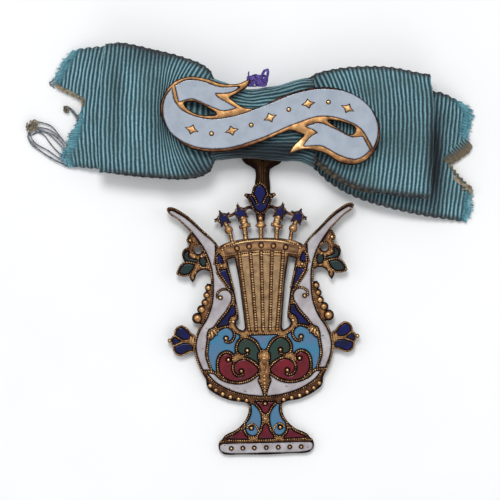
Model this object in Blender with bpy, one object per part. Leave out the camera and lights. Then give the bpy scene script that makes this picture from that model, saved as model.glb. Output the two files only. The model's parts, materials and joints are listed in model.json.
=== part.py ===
"""Music competition badge, lying face up.

An enamelled lyre hangs by a strap under a ribbon bow, and an enamelled scroll lies on the bow's knot.
Metres, +Z up and out of the badge's face, +Y from the lyre's foot to the bow.
"""
import math

import bmesh
import bpy
from mathutils import Vector
from mathutils.geometry import delaunay_2d_cdt

# Lyre
LYRE_HEIGHT = 0.0548
LYRE_WIDTH = 0.0376
LYRE_LEAN = math.radians(1.43)
LYRE_SHIFT = 0.0008
PLATE_FLOOR = 0.0007
WALL_TOP = 0.0012
STUD_HEIGHT = 0.0004
STUD_TAPER = 0.6
WIRE = 0.00048
CURL_WIRE = 0.00040
ENAMEL_GAP = 0.00012
ENAMEL_DROP = 0.00006
CORD = 0.00050
BOSS = 0.00060
SIDE_BEAD = 0.00062
LARGEST_SIDE_BEAD = 0.00098
RIM_BEAD = 0.00046
BALL = 0.00042
BASE_BALL = 0.00032
BEAD_SIDES = 10

# Ribbon bow
RIBBON = 0.0010
RIBBON_WIDTH = 0.0256
LEFT_LOOP = 0.0315
RIGHT_LOOP = 0.0332
LOOP_PUFF = 0.0007
LOOP_ROUND = 0.0008
LEFT_TAIL = 0.0428
RIGHT_TAIL = 0.0422
KNOT_WIDTH = 0.0198
KNOT_HEIGHT = 0.0165
KNOT_ROUND = 0.0011
WAIST_INSET = 0.0021
CLEARANCE = 0.0003

# Scroll
SCROLL_WIDTH = 0.0440
SCROLL_HEIGHT = 0.0178
SCROLL_SHIFT = Vector((0.0015, -0.0005))
SCROLL_FLOOR = 0.0008
SCROLL_TOP = 0.0014

# Hanger and brooch pin
HANGER_SHOWN = 0.0042
HANGER_WIDTH = 0.0030
HANGER_FLARE = 0.0086
HANGER_HIDDEN = 0.0030
HANGER_LAP = 0.0040
HANGER_THICKNESS = 0.0008
PIN_LENGTH = 0.0300
PIN_WIDTH = 0.0022
PIN_THICKNESS = 0.0016
PIN_RISE = 0.0030
PIN_CORNER = 0.00055

# Heights of the layers, from the surface that the badge lies on
KNOT_BACK = PIN_THICKNESS + CLEARANCE
TAIL_BACK = KNOT_BACK + RIBBON + CLEARANCE
LOOP_BACK = TAIL_BACK + RIBBON + CLEARANCE
LOOP_FRONT = LOOP_BACK + RIBBON + CLEARANCE
KNOT_FRONT = LOOP_FRONT + RIBBON + CLEARANCE
WAIST_END = KNOT_WIDTH / 2 + 2 * CLEARANCE
SCROLL_BACK = KNOT_FRONT + RIBBON + CLEARANCE
HANGER_BACK = KNOT_BACK - CLEARANCE - HANGER_THICKNESS

# The drawings' grids: a point is so many columns from an axis and so many rows from a foot
LYRE_COLUMNS = 188
LYRE_ROWS = 274
SCROLL_COLUMNS = 220
SCROLL_ROWS = 89
TURN_STEP = math.radians(30)
FOLD_STEPS = 4
GRAIN = 6
# How blunt a corner is made that opens as its outline is moved, and the sharpest that one may close
BLUNT = 0.9
SHARPEST = 0.05
# A moved point that lies nearer to its outline than this share of the distance has folded over
OFFSET_SHARE = 0.96

COLOURS = {
    "gilt": (0.50, 0.29, 0.10, 1.0, 0.34, 1.0),
    "bronze": (0.06, 0.035, 0.015, 1.0, 0.45, 1.0),
    "ribbon": (0.10, 0.29, 0.34, 1.0, 0.85, 0.0),
    "white": (0.62, 0.60, 0.66, 1.0, 0.15, 0.0),
    "scroll_white": (0.58, 0.63, 0.74, 1.0, 0.15, 0.0),
    "cobalt": (0.012, 0.016, 0.16, 1.0, 0.12, 0.0),
    "sky": (0.12, 0.33, 0.55, 1.0, 0.15, 0.0),
    "green": (0.04, 0.12, 0.09, 1.0, 0.15, 0.0),
    "red": (0.35, 0.02, 0.04, 1.0, 0.15, 0.0),
    "burgundy": (0.19, 0.01, 0.025, 1.0, 0.15, 0.0),
}


def clear_scene():
    for thing in list(bpy.data.objects):
        bpy.data.objects.remove(thing, do_unlink=True)


def material(name, colour):
    """A Principled material for one node, in one of the badge's colours."""
    made = bpy.data.materials.new(name)
    made.use_nodes = True
    shader = made.node_tree.nodes["Principled BSDF"]
    shader.inputs["Base Color"].default_value = COLOURS[colour][:4]
    shader.inputs["Roughness"].default_value = COLOURS[colour][4]
    shader.inputs["Metallic"].default_value = COLOURS[colour][5]
    made.diffuse_color = COLOURS[colour][:4]
    return made


def finish(bm, name, colour, parent, place=(0, 0, 0)):
    """Turns a closed bmesh into a named object with its own material."""
    bmesh.ops.recalc_face_normals(bm, faces=bm.faces)
    bmesh.ops.triangulate(bm, faces=bm.faces)
    mesh = bpy.data.meshes.new(name)
    bm.to_mesh(mesh)
    bm.free()
    mesh.materials.append(material(name, colour))
    thing = bpy.data.objects.new(name, mesh)
    bpy.context.scene.collection.objects.link(thing)
    thing.parent = parent
    thing.location = place
    return thing


def frame_empty(name, parent=None, place=(0, 0, 0), turn=(0, 0, 0)):
    """An empty that carries a group of pieces."""
    made = bpy.data.objects.new(name, None)
    bpy.context.scene.collection.objects.link(made)
    made.parent = parent
    made.location = place
    made.rotation_euler = turn
    return made


# Flat drawing

def lyre_points(*points):
    """Points on the lyre's grid, as metres."""
    return [Vector((c * LYRE_WIDTH / LYRE_COLUMNS, r * LYRE_HEIGHT / LYRE_ROWS)) for c, r in points]


def scroll_points(*points):
    """Points on the scroll's grid, as metres."""
    return [Vector((c * SCROLL_WIDTH / SCROLL_COLUMNS, r * SCROLL_HEIGHT / SCROLL_ROWS)) for c, r in points]


def smooth(points, closed=False):
    """A curve through the points, with a step for each TURN_STEP that it turns."""
    last = len(points) - 1
    slopes = []
    for i, point in enumerate(points):
        before = points[i - 1] if i > 0 or closed else None
        after = points[(i + 1) % len(points)] if i < last or closed else None
        if before is None or after is None:
            slopes.append(None)
            continue
        back, ahead = point - before, after - point
        slope = back / back.length * ahead.length + ahead / ahead.length * back.length
        slopes.append(slope / (back.length + ahead.length))
    curve = []
    for i in range(len(points) if closed else last):
        start, end = points[i], points[(i + 1) % len(points)]
        chord = end - start
        straight = chord / chord.length
        leave, arrive = slopes[i], slopes[(i + 1) % len(points)]
        leave, arrive = (leave or (2 * straight - arrive if arrive else straight),
                         arrive or (2 * straight - leave if leave else straight))
        turn = leave.angle(chord, 0) + chord.angle(arrive, 0)
        steps = max(1, math.ceil(turn / TURN_STEP))
        for k in range(steps):
            t = k / steps
            place = start * (2 * t**3 - 3 * t**2 + 1) + end * (3 * t**2 - 2 * t**3)
            bend = leave * (t**3 - 2 * t**2 + t) + arrive * (t**3 - t**2)
            curve.append(place + bend * chord.length)
    if not closed:
        curve.append(points[-1])
    return curve


def lyre_curve(*points, closed=False):
    return smooth(lyre_points(*points), closed)


def scroll_curve(*points, closed=False):
    return smooth(scroll_points(*points), closed)


def between(curve, start_row, end_row):
    """The stretch of a rising or falling lyre curve from one row of the grid to another."""
    row = LYRE_HEIGHT / LYRE_ROWS
    start, end = start_row * row, end_row * row
    path = curve if (curve[-1].y - curve[0].y) * (end - start) > 0 else curve[::-1]
    low, high = sorted((start, end))
    inside = [p for p in path if low < p.y < high]
    return [at_height(path, start)] + inside + [at_height(path, end)]


def split(curve, column, row):
    """Cuts a lyre curve in two at the point nearest to a place on the grid."""
    place = lyre_points((column, row))[0]
    cut = min(range(len(curve)), key=lambda k: (curve[k] - place).length)
    return curve[:cut + 1], curve[cut:]


def at_height(path, height):
    """The point where a path crosses a height."""
    for a, b in zip(path, path[1:]):
        if min(a.y, b.y) <= height <= max(a.y, b.y) and a.y != b.y:
            return a.lerp(b, (height - a.y) / (b.y - a.y))
    return min(path, key=lambda p: abs(p.y - height))


def joined(*runs):
    """One closed outline from runs of points, without doubled points."""
    outline = []
    for point in (p for run in runs for p in run):
        if not outline or (point - outline[-1]).length > 1e-5:
            outline.append(point)
    if (outline[0] - outline[-1]).length < 1e-5:
        outline.pop()
    return outline


def mirrored(outline):
    return [Vector((-p.x, p.y)) for p in reversed(outline)]


def whole(half):
    """A symmetric outline from its right half."""
    return joined(half, mirrored(half))


def circle(centre, radius, sides=BEAD_SIDES):
    turns = [2 * math.pi * (k + 0.5) / sides for k in range(sides)]
    return [centre + radius * Vector((math.cos(a), math.sin(a))) for a in turns]


def signed_area(outline):
    return sum(a.x * b.y - b.x * a.y for a, b in zip(outline, outline[1:] + outline[:1])) / 2


def left_turning(outline):
    """The outline with its inside on the left as it runs."""
    return outline if signed_area(outline) > 0 else outline[::-1]


def distance_to(point, outline):
    """The distance from a point to a closed outline."""
    nearest = math.inf
    for a, b in zip(outline, outline[1:] + outline[:1]):
        along = b - a
        share = max(0.0, min(1.0, (point - a).dot(along) / along.length_squared))
        nearest = min(nearest, (point - a - along * share).length)
    return nearest


def offset(outline, distance):
    """The outline moved outwards, or inwards where distance is negative, without folded corners."""
    outline = left_turning(outline)
    moved = []
    for i, point in enumerate(outline):
        back = (point - outline[i - 1]).normalized()
        ahead = (outline[(i + 1) % len(outline)] - point).normalized()
        normal = Vector((back.y + ahead.y, -back.x - ahead.x))
        opens = back.cross(ahead) * distance > 0
        reach = 2 / max(normal.length_squared, BLUNT if opens else SHARPEST)
        moved.append(point + normal * reach * distance)
    return joined([p for p in moved if distance_to(p, outline) > OFFSET_SHARE * abs(distance)])


def stroke(line, width):
    """The outline of a wire of even width along a line."""
    sides = ([], [])
    for i, point in enumerate(line):
        back = point - line[max(i - 1, 0)]
        ahead = line[min(i + 1, len(line) - 1)] - point
        along = (back.normalized() + ahead.normalized()).normalized()
        across = Vector((along.y, -along.x)) * width / 2
        sides[0].append(point + across)
        sides[1].append(point - across)
    return sides[0] + sides[1][::-1]


def flat_faces(groups):
    """Triangulates overlapping outlines. Yields each triangle with the groups that it lies in."""
    points, faces, owners = [], [], []
    for name, outlines in groups.items():
        for outline in outlines:
            faces.append(list(range(len(points), len(points) + len(outline))))
            points.extend(left_turning(outline))
            owners.append(name)
    corners, _, triangles, _, _, sources = delaunay_2d_cdt(points, [], faces, 1, 1e-7)
    for triangle, source in zip(triangles, sources):
        yield [corners[k] for k in triangle], {owners[s] for s in source}


def storey(tags):
    """How high a face stands: 0 for a cell's floor, 1 for walls and plain plate, 2 for studs."""
    if "stud" in tags:
        return 2
    return 0 if "recess" in tags and "wall" not in tags else 1


def flat_mesh(drawn):
    """A flat bmesh from tagged triangles that share corners, its faces marked with their storey."""
    bm = bmesh.new()
    level = bm.faces.layers.int.new("storey")
    corners = {}
    for triangle, tags in drawn:
        keys = [(round(p.x, GRAIN), round(p.y, GRAIN)) for p in triangle]
        if len(set(keys)) < 3:
            continue
        for key in keys:
            if key not in corners:
                corners[key] = bm.verts.new((key[0], key[1], 0))
        bm.faces.new([corners[key] for key in keys])[level] = storey(tags)
    return bm, level


def raise_faces(bm, faces, height):
    """Extrudes flat faces upwards and returns the raised ones."""
    edges = list({e for f in faces for e in f.edges})
    made = bmesh.ops.extrude_face_region(bm, geom=faces + edges)
    corners = [g for g in made["geom"] if isinstance(g, bmesh.types.BMVert)]
    bmesh.ops.translate(bm, verts=corners, vec=(0, 0, height))
    return [g for g in made["geom"] if isinstance(g, bmesh.types.BMFace)]


def level_faces(bm, height, faces):
    """The faces that lie flat at a height, out of a list."""
    return [f for f in faces if f.is_valid and all(abs(v.co.z - height) < 1e-6 for v in f.verts)]


def keep_largest_island(bm):
    """Deletes the scraps that a cut left beside the main piece."""
    left = set(bm.faces)
    islands = []
    while left:
        island, edge = set(), [left.pop()]
        while edge:
            face = edge.pop()
            island.add(face)
            near = {f for e in face.edges for f in e.link_faces} & left
            left -= near
            edge.extend(near)
        islands.append(island)
    largest = max(islands, key=lambda island: sum(f.calc_area() for f in island))
    scraps = [f for island in islands if island is not largest for f in island]
    bmesh.ops.delete(bm, geom=scraps, context="FACES")


def merge_flat(bm, height):
    """Joins the flat faces at a height into few large ones."""
    edges = [e for e in bm.edges if all(abs(v.co.z - height) < 1e-6 for v in e.verts)]
    verts = [v for v in bm.verts if abs(v.co.z - height) < 1e-6]
    bmesh.ops.dissolve_limit(bm, angle_limit=1e-3, verts=verts, edges=edges)


def relief(name, colour, parent, heights, plates, holes, recesses, walls, studs, place=(0, 0, 0)):
    """A plate with open cells: walls and wires stand up round its recesses, and studs on top of them."""
    floor, top, stud_height = heights
    groups = {"plate": plates, "hole": holes, "recess": recesses, "wall": walls,
              "stud": [circle(centre, radius) for centre, radius in studs]}
    drawn = [(t, tags) for t, tags in flat_faces(groups) if "plate" in tags and "hole" not in tags]
    bm, level = flat_mesh(drawn)
    raised = raise_faces(bm, list(bm.faces), floor)
    high = [f for f in level_faces(bm, floor, raised) if f[level] >= 1]
    raised = raise_faces(bm, high, top - floor)
    domes = [f for f in level_faces(bm, top, raised) if f[level] == 2]
    raised = raise_faces(bm, domes, stud_height) if domes else []
    for corner in {v for f in raised for v in f.verts if v.co.z > top + 1e-6}:
        centre, radius = min(studs, key=lambda s: (corner.co.xy - s[0]).length / s[1])
        corner.co.xy = centre + (corner.co.xy - centre) * STUD_TAPER
    merge_flat(bm, 0)
    return finish(bm, name, colour, parent, place)


def inlay(name, colour, parent, outline, cuts, base, top, place=(0, 0, 0)):
    """A slab of enamel inside an outline, open where wires and balls stand in it."""
    drawn = flat_faces({"slab": [outline], "cut": cuts})
    bm, _ = flat_mesh([(t, tags) for t, tags in drawn if "slab" in tags and "cut" not in tags])
    keep_largest_island(bm)
    bmesh.ops.translate(bm, verts=bm.verts, vec=(0, 0, base))
    raise_faces(bm, list(bm.faces), top - base)
    return finish(bm, name, colour, parent, place)


# Lyre, drawn along the centre lines of its wires; right half only, rows from the foot up

ARM_OUTER = lyre_curve(
    (62, 85.8), (66.8, 98), (68.6, 112), (64.8, 125.5), (56.8, 138.4), (51, 154.8), (49.8, 170),
    (50.8, 187), (55.9, 207), (69.2, 225.8), (82, 238.7), (92.3, 247.4))
HORN_INNER = lyre_curve((90.2, 249.6), (77.7, 243.5), (59.8, 227), (45, 211.5), (42.8, 208))
ARM_WALL = lyre_curve(
    (42.8, 208), (45.2, 199.5), (44.6, 188), (37.5, 175), (30.5, 164.5), (29.9, 158), (34.3, 148),
    (43.8, 136), (50.4, 128))
BOWL_WALL = lyre_curve(
    (55.9, 117), (57.4, 100), (52.8, 85.5), (43.5, 78), (34, 74.2), (26, 73.2), (17, 75.4), (7.5, 82))
BOWL_SIDE, BOWL_UNDER = split(BOWL_WALL, 26, 73.2)
SLOT_OUTER = lyre_curve((35.4, 195.6), (32.5, 182), (29, 164), (26.3, 148), (25.2, 140.5))
BOWL_BOTTOM = lyre_curve((1.6, 57.4), (20, 60), (40, 67), (52, 75), (60.5, 84.4))
RED_OUTER = lyre_curve((43.4, 78), (46.8, 90.5), (43.5, 101.5), (37.3, 104.2), (32.6, 102.4), (30.9, 99))
RED_TOP = lyre_curve((6.2, 86.5), (12.5, 94.6), (20, 97.8), (26.5, 96.3), (30, 93.3))
GREEN_TOP = lyre_curve((2.6, 103.5), (7, 112.5), (13.5, 117.6), (19.5, 118.6), (25, 114.8), (27.4, 109))
GREEN_RISE, GREEN_FALL = split(GREEN_TOP, 19.5, 118.6)
SKY_TOP = lyre_curve((47, 125.4), (41, 129), (36, 129.8), (31.4, 127.4))
FOOT_EDGE = lyre_curve((16, 52), (15.4, 46), (19, 35.4), (27.8, 26), (41, 19), (44.6, 14.8))
COMMA = lyre_curve(
    (21.2, 31.6), (21.6, 26), (18.5, 20.4), (13.5, 18.2), (8.5, 20), (5.2, 25), (3, 33), (3.3, 41.5),
    (6.3, 47.5), (11, 52.6))
COMMA_OUT, COMMA_IN = split(COMMA, 13.5, 18.2)

# Spiral wires that stand in a cell: the cell that they stand in, and their line from the wall inwards
CURLS = {
    "arm_white": ((30.6, 162), (34, 166.2), (39.5, 167), (44.6, 163.8), (45.2, 158)),
    "sky": ((31.8, 127.8), (29.2, 122.5), (30.4, 117), (34.5, 114), (38.9, 115.6)),
    "green": ((27.4, 109.5), (26.8, 104), (23, 100.9), (18.6, 100.9), (15, 103)),
    "red": ((29.6, 93.8), (31.6, 88.4), (29.8, 82.4), (25, 80), (20.9, 82.6)),
}
# Balls at the curls' inner ends, and others that stand in a cell
BALLS = {
    "arm_white": [(42.2, 158.8)],
    "sky": [(37.6, 118)],
    "green": [(16.6, 105.4)],
    "red": [(23, 84.8), (35.7, 96.4)],
    "foot_sky": [(14.5, 27.6)],
    "foot_crimson": [(0, 51.6)],
    "base_white": [(c, 7.6) for c in (-35, -23.5, -12, 0, 12, 23.5, 35)],
}


# Width in rows of a bar, then its line: the crown's, the rail under the side beads and the ear's stem
BARS = (
    (4.6, (15, 214), (16.3, 229)),
    (3.6, (10.2, 231), (21.6, 228.4)),
    (6.4, (14.6, 230), (18.4, 240)),
    (3.8, (28.8, 213), (30.8, 224)),
    (4.2, (33.2, 228), (36, 235)),
    (3.4, (6.5, 247.6), (12.4, 248.4), (17, 242)),
    (3.2, (23, 244.4), (29, 241.2), (36, 240)),
    (7.0, (52, 173), (53.4, 163), (55.2, 155), (61, 140), (64, 133.6)),
    (4.0, (70, 116.4), (84, 115.8)),
)
FINIAL_KNOP = 4.2
# The middle of a star and the tip of one of its points
STAR_TIPS = (
    ((20, 243.2), (23, 254)),
    ((20, 243.2), (27, 243)),
    ((37.6, 238), (41.6, 246)),
    ((37.6, 238), (47, 234.6)),
)
STAR_TIP_REACH = 3.6


def arm_cells():
    """The white arm, and the three blue cells along its inner side."""
    tip = lyre_points((92.6, 248.6), (91.6, 249.6))
    clasp_side = lyre_points((53.8, 126.6), (55.6, 122))
    divider = lyre_points((52.8, 85.5), (57.5, 85.9))
    white = joined(ARM_OUTER, tip, HORN_INNER, ARM_WALL, clasp_side, between(BOWL_SIDE, 117, 85.5), divider)
    top = joined(lyre_points((42.4, 205)), between(ARM_WALL, 203, 194.5),
                 lyre_points((38, 193.6), (38.6, 199)))
    main = joined(between(ARM_WALL, 188, 170), lyre_points((31.2, 169.6)), between(SLOT_OUTER, 172, 189),
                  lyre_points((40, 187)))
    low = joined(between(ARM_WALL, 152.5, 129.5), lyre_points((45.5, 127.6)), SKY_TOP[1:],
                 lyre_points((32.6, 130), (33.2, 135), (30.6, 138.8), (27.4, 140.4)),
                 between(SLOT_OUTER, 143, 151))
    return {"arm_white": (white, "white"), "arm_blue_top": (top, "cobalt"),
            "arm_blue_main": (main, "cobalt"), "arm_blue_low": (low, "cobalt")}


def bowl_cells():
    """The cells of the right half of the bowl."""
    crescent = joined(lyre_points((60.5, 84.6), (57.5, 84.9)), between(BOWL_SIDE, 84.6, 73.3), BOWL_UNDER,
                      lyre_points((5.6, 79), (7.4, 75.2), (4.8, 69.5), (1.6, 61.5)), BOWL_BOTTOM)
    sky = joined(lyre_points((47, 125.4)), SKY_TOP[1:], lyre_points((27.6, 124.4), (22.4, 121.4)),
                 GREEN_FALL[1:], lyre_points((27.6, 104), (28.2, 101.4)),
                 RED_OUTER[-1:1:-1], between(BOWL_SIDE, 80.5, 116), lyre_points((53, 118.4), (49.4, 122)))
    green = joined(lyre_points((5.2, 98), (5, 101.4)), GREEN_TOP, lyre_points((27, 103), (27, 98.4)),
                   RED_TOP[-2::-1], lyre_points((4.6, 91)))
    red = joined(between(BOWL_SIDE, 78, 73.3), BOWL_UNDER, lyre_points((6, 84.5)), RED_TOP,
                 lyre_points((31.2, 96.4)), RED_OUTER[::-1])
    return {"crescent_white": (crescent, "white"), "sky": (sky, "sky"),
            "green": (green, "green"), "red": (red, "red")}


def side_cells():
    """The ear's three petals, and the leaf spray's three greens."""
    up = joined(lyre_curve((69.6, 120.6), (73, 123.4), (81.4, 131), (85, 130), (88.6, 121.4)),
                lyre_points((79, 117), (71, 118)))
    tip = joined(lyre_curve((88.6, 121.4), (91.6, 118.8), (91.8, 115.4), (90.2, 111.4)),
                 lyre_points((83, 114.6), (82.4, 117)))
    down = joined(lyre_curve((90.2, 111.4), (87.4, 104), (83.4, 102.4), (75, 105.6), (70.4, 106.4)),
                  lyre_points((70.6, 114.8), (81, 114.6)))
    leaf = lyre_curve((66, 194.2), (74, 194), (81, 189.4), (84.4, 184.4), (78, 182.6), (70.6, 186),
                      closed=True)
    drop = lyre_curve((57.6, 202.6), (61.8, 200.4), (63, 196), (59.6, 191.6), (55, 192.6), (54.4, 198.6),
                      closed=True)
    frond = lyre_curve((73, 208), (77.4, 205.4), (78, 200.6), (75.4, 196.8), (71.6, 197), (71, 202.6),
                       closed=True)
    return {"ear_upper": (up, "cobalt"), "ear_tip": (tip, "cobalt"), "ear_lower": (down, "cobalt"),
            "leaf_large": (leaf, "green"), "leaf_drop": (drop, "green"), "leaf_frond": (frond, "green")}


def foot_cells():
    """The foot's sky comma and its red corner."""
    comma = joined(lyre_points((14.6, 52.6)), between(FOOT_EDGE, 51, 33), COMMA)
    corner = joined(between(FOOT_EDGE, 27, 16.8), lyre_points((43, 15), (17, 15), (16.6, 17.6)),
                    between(COMMA_OUT, 19.6, 27))
    return {"foot_sky": (comma, "sky"), "foot_red": (corner, "burgundy")}


def star_cells():
    """The inner and outer star of the crown."""
    inner = circle(lyre_points((20, 243.2))[0], 4.9 * LYRE_HEIGHT / LYRE_ROWS)
    outer = circle(lyre_points((37.6, 238))[0], 4.6 * LYRE_HEIGHT / LYRE_ROWS)
    return {"star_inner": (inner, "cobalt"), "star_outer": (outer, "cobalt")}


def middle_cells():
    """The cells that lie across the axis, whole."""
    wedge = whole(joined(lyre_points((0, 103.5)), between(GREEN_RISE, 106, 118),
                         lyre_points((16, 121.8), (0, 121.8))))
    petals = whole(lyre_curve((0, 242), (5, 244.4), (8.6, 251), (12.6, 259.6))
                   + lyre_points((8, 260.6))
                   + lyre_curve((6.8, 264.4), (4.4, 270), (0, 272.6)))
    crimson = whole(joined(lyre_points((0, 39.6)), between(COMMA_IN, 42, 51.6),
                           lyre_points((12.8, 55), (0, 55))))
    middle = whole(joined(lyre_points((0, 15), (9.6, 15)), between(COMMA_IN, 19.8, 31),
                          lyre_points((0, 33.2))))
    base = whole(lyre_curve((0, 1.8), (30, 2.5), (43.5, 4.1), (46.6, 8.6), (45.6, 12.4))
                 + lyre_points((0, 12.6)))
    return {"sky_wedge": (wedge, "sky"), "palmette_blue": (petals, "cobalt"),
            "foot_crimson": (crimson, "burgundy"), "foot_middle": (middle, "burgundy"),
            "base_white": (base, "white")}


def lyre_body():
    """The silhouette of arms, yoke, bowl and foot, along the centre lines of its rim."""
    foot = lyre_curve((0, 1.8), (30, 2.5), (43.5, 4.1), (46.6, 8.6), (45.4, 14.4))
    rim = lyre_curve((16.4, 52.6), (19, 53.8), (35, 57), (50, 64.3), (56, 69.4), (57.4, 76.4))
    yoke = lyre_curve((40.2, 209.8), (33, 213), (18, 216), (0, 216.8))
    tip = lyre_points((92.6, 248.6), (91.6, 249.6))
    half = joined(foot, FOOT_EDGE[::-1], rim, ARM_OUTER, tip, HORN_INNER, yoke)
    return offset(whole(half), WIRE / 2)


def pierced_slot():
    """The opening between the strings and an arm."""
    inner = lyre_curve((27.2, 198.4), (23.6, 178), (20.5, 150), (18.4, 128))
    pocket = lyre_curve((20.2, 125.4), (25.6, 128.4), (27.4, 132.4), (24.4, 137))
    outer = lyre_curve((24.4, 142), (27.8, 164), (31.3, 182), (34.4, 196.6))
    return joined(inner, pocket, outer)


def string_bays():
    """The sunk panel behind the strings, and the cords that stand in it."""
    panel = lyre_points((-24.6, 199.4), (-17.2, 127), (17.2, 127), (24.6, 199.4), (0, 202))
    cords = [stroke(lyre_points((low, 125), (high, 204)), CORD)
             for low, high in ((-14, -22), (-6.9, -10.8), (0, 0), (6.9, 10.8), (14, 22))]
    return panel, cords


def leaf_spray():
    """The plates of the leaf spray on an arm, and its round hole."""
    edge = lyre_curve((69.5, 226), (72.5, 222.4), (75, 217.5), (72.6, 211.4), (78, 208), (79.6, 202),
                              (77.2, 195.4), (83, 189.6), (86, 184))
    under = lyre_curve((84, 182), (77, 181.4), (73, 182))
    point = lyre_points((72.2, 178.6), (69.6, 174.6), (67, 178.4))
    arch = lyre_curve((66, 182), (62, 186), (57, 187.2), (52.8, 185))
    plate = joined(edge, under, point, arch, lyre_points((50, 188), (54, 204), (64, 218)))
    return plate, circle(lyre_points((63.3, 207))[0], 3.9 * LYRE_HEIGHT / LYRE_ROWS, 12)


def crown_plates():
    """The crown's finials, stars and arches, right half and middle."""
    row = LYRE_HEIGHT / LYRE_ROWS
    plates = [stroke(smooth(lyre_points(*line)), width * row) for width, *line in BARS]
    plates.append(circle(lyre_points((32.3, 226.4))[0], FINIAL_KNOP * row))
    for centre, tip in STAR_TIPS:
        root, point = lyre_points(centre, tip)
        across = (point - root).orthogonal().normalized() * STAR_TIP_REACH * row
        plates.append([root + across, root - across, point])
    return plates + [mirrored(plate) for plate in plates]


def middle_crown():
    """The middle finial and the palmette's tips."""
    row = LYRE_HEIGHT / LYRE_ROWS
    stem = stroke(lyre_points((0, 214), (0, 230)), 4.4 * row)
    disc = lyre_points((-5.8, 229.8), (-3, 228), (3, 228), (5.8, 229.8), (4.6, 231.6), (-4.6, 231.6))
    cup = lyre_points((-3.4, 230), (3.4, 230), (5, 242), (-5, 242))
    tip = lyre_points((9, 254), (16.2, 260.4), (14.6, 262.8), (8.6, 262))
    return [stem, disc, cup, tip, mirrored(tip)]


def lyre_studs():
    """Every bead and boss that stands on the lyre, as centre and radius."""
    studs = [(c, r, BOSS) for c, r in ((0, 210), (12.2, 209.2), (24.4, 207.6))]
    beads = ((54, 169), (55.7, 161.6), (57.4, 154.2), (61.2, 147.4), (65.6, 138.8))
    for k, (c, r) in enumerate(beads):
        studs.append((c, r, SIDE_BEAD + (LARGEST_SIDE_BEAD - SIDE_BEAD) * (k / (len(beads) - 1)) ** 2))
    for c, r in ((18.6, 55.4), (26.6, 57), (34.6, 59.2), (42.2, 62.4), (49, 66.4), (54.6, 71)):
        studs.append((c, r, RIM_BEAD))
    studs += [(40.4, 190.6, BALL), (30, 134.6, BALL), (94, 117.2, BALL), (71, 217, BALL)]
    right = [(lyre_points((c, r))[0], radius) for c, r, radius in studs]
    return right + [(Vector((-p.x, p.y)), radius) for p, radius in right if p.x > 1e-6]


def raised_ornaments():
    """Ornaments that stand as high as the walls: the knots, the stalk and the clasps."""
    stalk = whole(lyre_points((0, 60.4), (4.4, 69), (7, 75), (5.2, 78), (6.4, 84), (4.2, 91), (5.2, 98),
                              (5, 101.4), (0, 102.4)))
    knot = lyre_points((-4, 33.6), (4, 33.6), (4, 39), (-4, 39))
    clasp = lyre_points((46.6, 125), (49.6, 128.6), (54, 125.6), (56, 117), (52, 117.6))
    return [stalk, knot, clasp, mirrored(clasp)]


def cell_balls(name):
    """The balls that stand in a cell of the right half, as centre and radius."""
    radius = BASE_BALL if name == "base_white" else BALL
    return [(centre, radius) for centre in lyre_points(*BALLS.get(name, ()))]


def lyre_cells():
    """Every enamel cell: its name, its walls' centre line, its colour, its curl and its balls."""
    cells = []
    pairs = {**arm_cells(), **bowl_cells(), **side_cells(), **foot_cells(), **star_cells()}
    for name, (outline, colour) in pairs.items():
        line = lyre_curve(*CURLS[name]) if name in CURLS else None
        balls = cell_balls(name)
        cells.append((name + "_right", outline, colour, line, balls))
        flipped = mirrored(line)[::-1] if line else None
        left_balls = [(Vector((-p.x, p.y)), radius) for p, radius in balls]
        cells.append((name + "_left", mirrored(outline), colour, flipped, left_balls))
    for name, (outline, colour) in middle_cells().items():
        cells.append((name, outline, colour, None, cell_balls(name)))
    return cells


def palmette_wires(width):
    """The two short wires between the palmette's petals."""
    right = stroke(lyre_points((8, 263), (2.6, 252)), width)
    return [right, mirrored(right)]


def build_lyre(parent):
    """The gilt frame in one piece, and an enamel slab in each of its cells."""
    cells = lyre_cells()
    panel, cords = string_bays()
    spray, spray_hole = leaf_spray()
    slot = pierced_slot()
    studs = lyre_studs()
    plates = [lyre_body(), spray, mirrored(spray)] + crown_plates() + middle_crown()
    plates += [offset(outline, WIRE / 2) for _, outline, _, _, _ in cells]
    plates += [circle(centre, radius) for centre, radius in studs]
    recesses = [offset(outline, -WIRE / 2) for _, outline, _, _, _ in cells] + [panel]
    walls = cords + raised_ornaments() + palmette_wires(CURL_WIRE)
    for _, _, _, line, balls in cells:
        walls += [stroke(line, CURL_WIRE)] if line else []
        studs += balls
    relief("lyre_frame", "gilt", parent, (PLATE_FLOOR, WALL_TOP, STUD_HEIGHT), plates,
           [slot, mirrored(slot), spray_hole, mirrored(spray_hole)], recesses, walls, studs)
    for name, outline, colour, line, balls in cells:
        cuts = [stroke(line, CURL_WIRE + 2 * ENAMEL_GAP)] if line else []
        cuts += [circle(centre, radius + ENAMEL_GAP) for centre, radius in balls]
        cuts += palmette_wires(CURL_WIRE + 2 * ENAMEL_GAP) if name == "palmette_blue" else []
        cuts += [offset(o, ENAMEL_GAP) for o in raised_ornaments()]
        inlay(name, colour, parent, offset(offset(outline, -WIRE / 2), -ENAMEL_GAP), cuts,
              PLATE_FLOOR + ENAMEL_GAP, WALL_TOP - ENAMEL_DROP)


# Scroll, columns from its left end and rows from its lowest point

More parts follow.
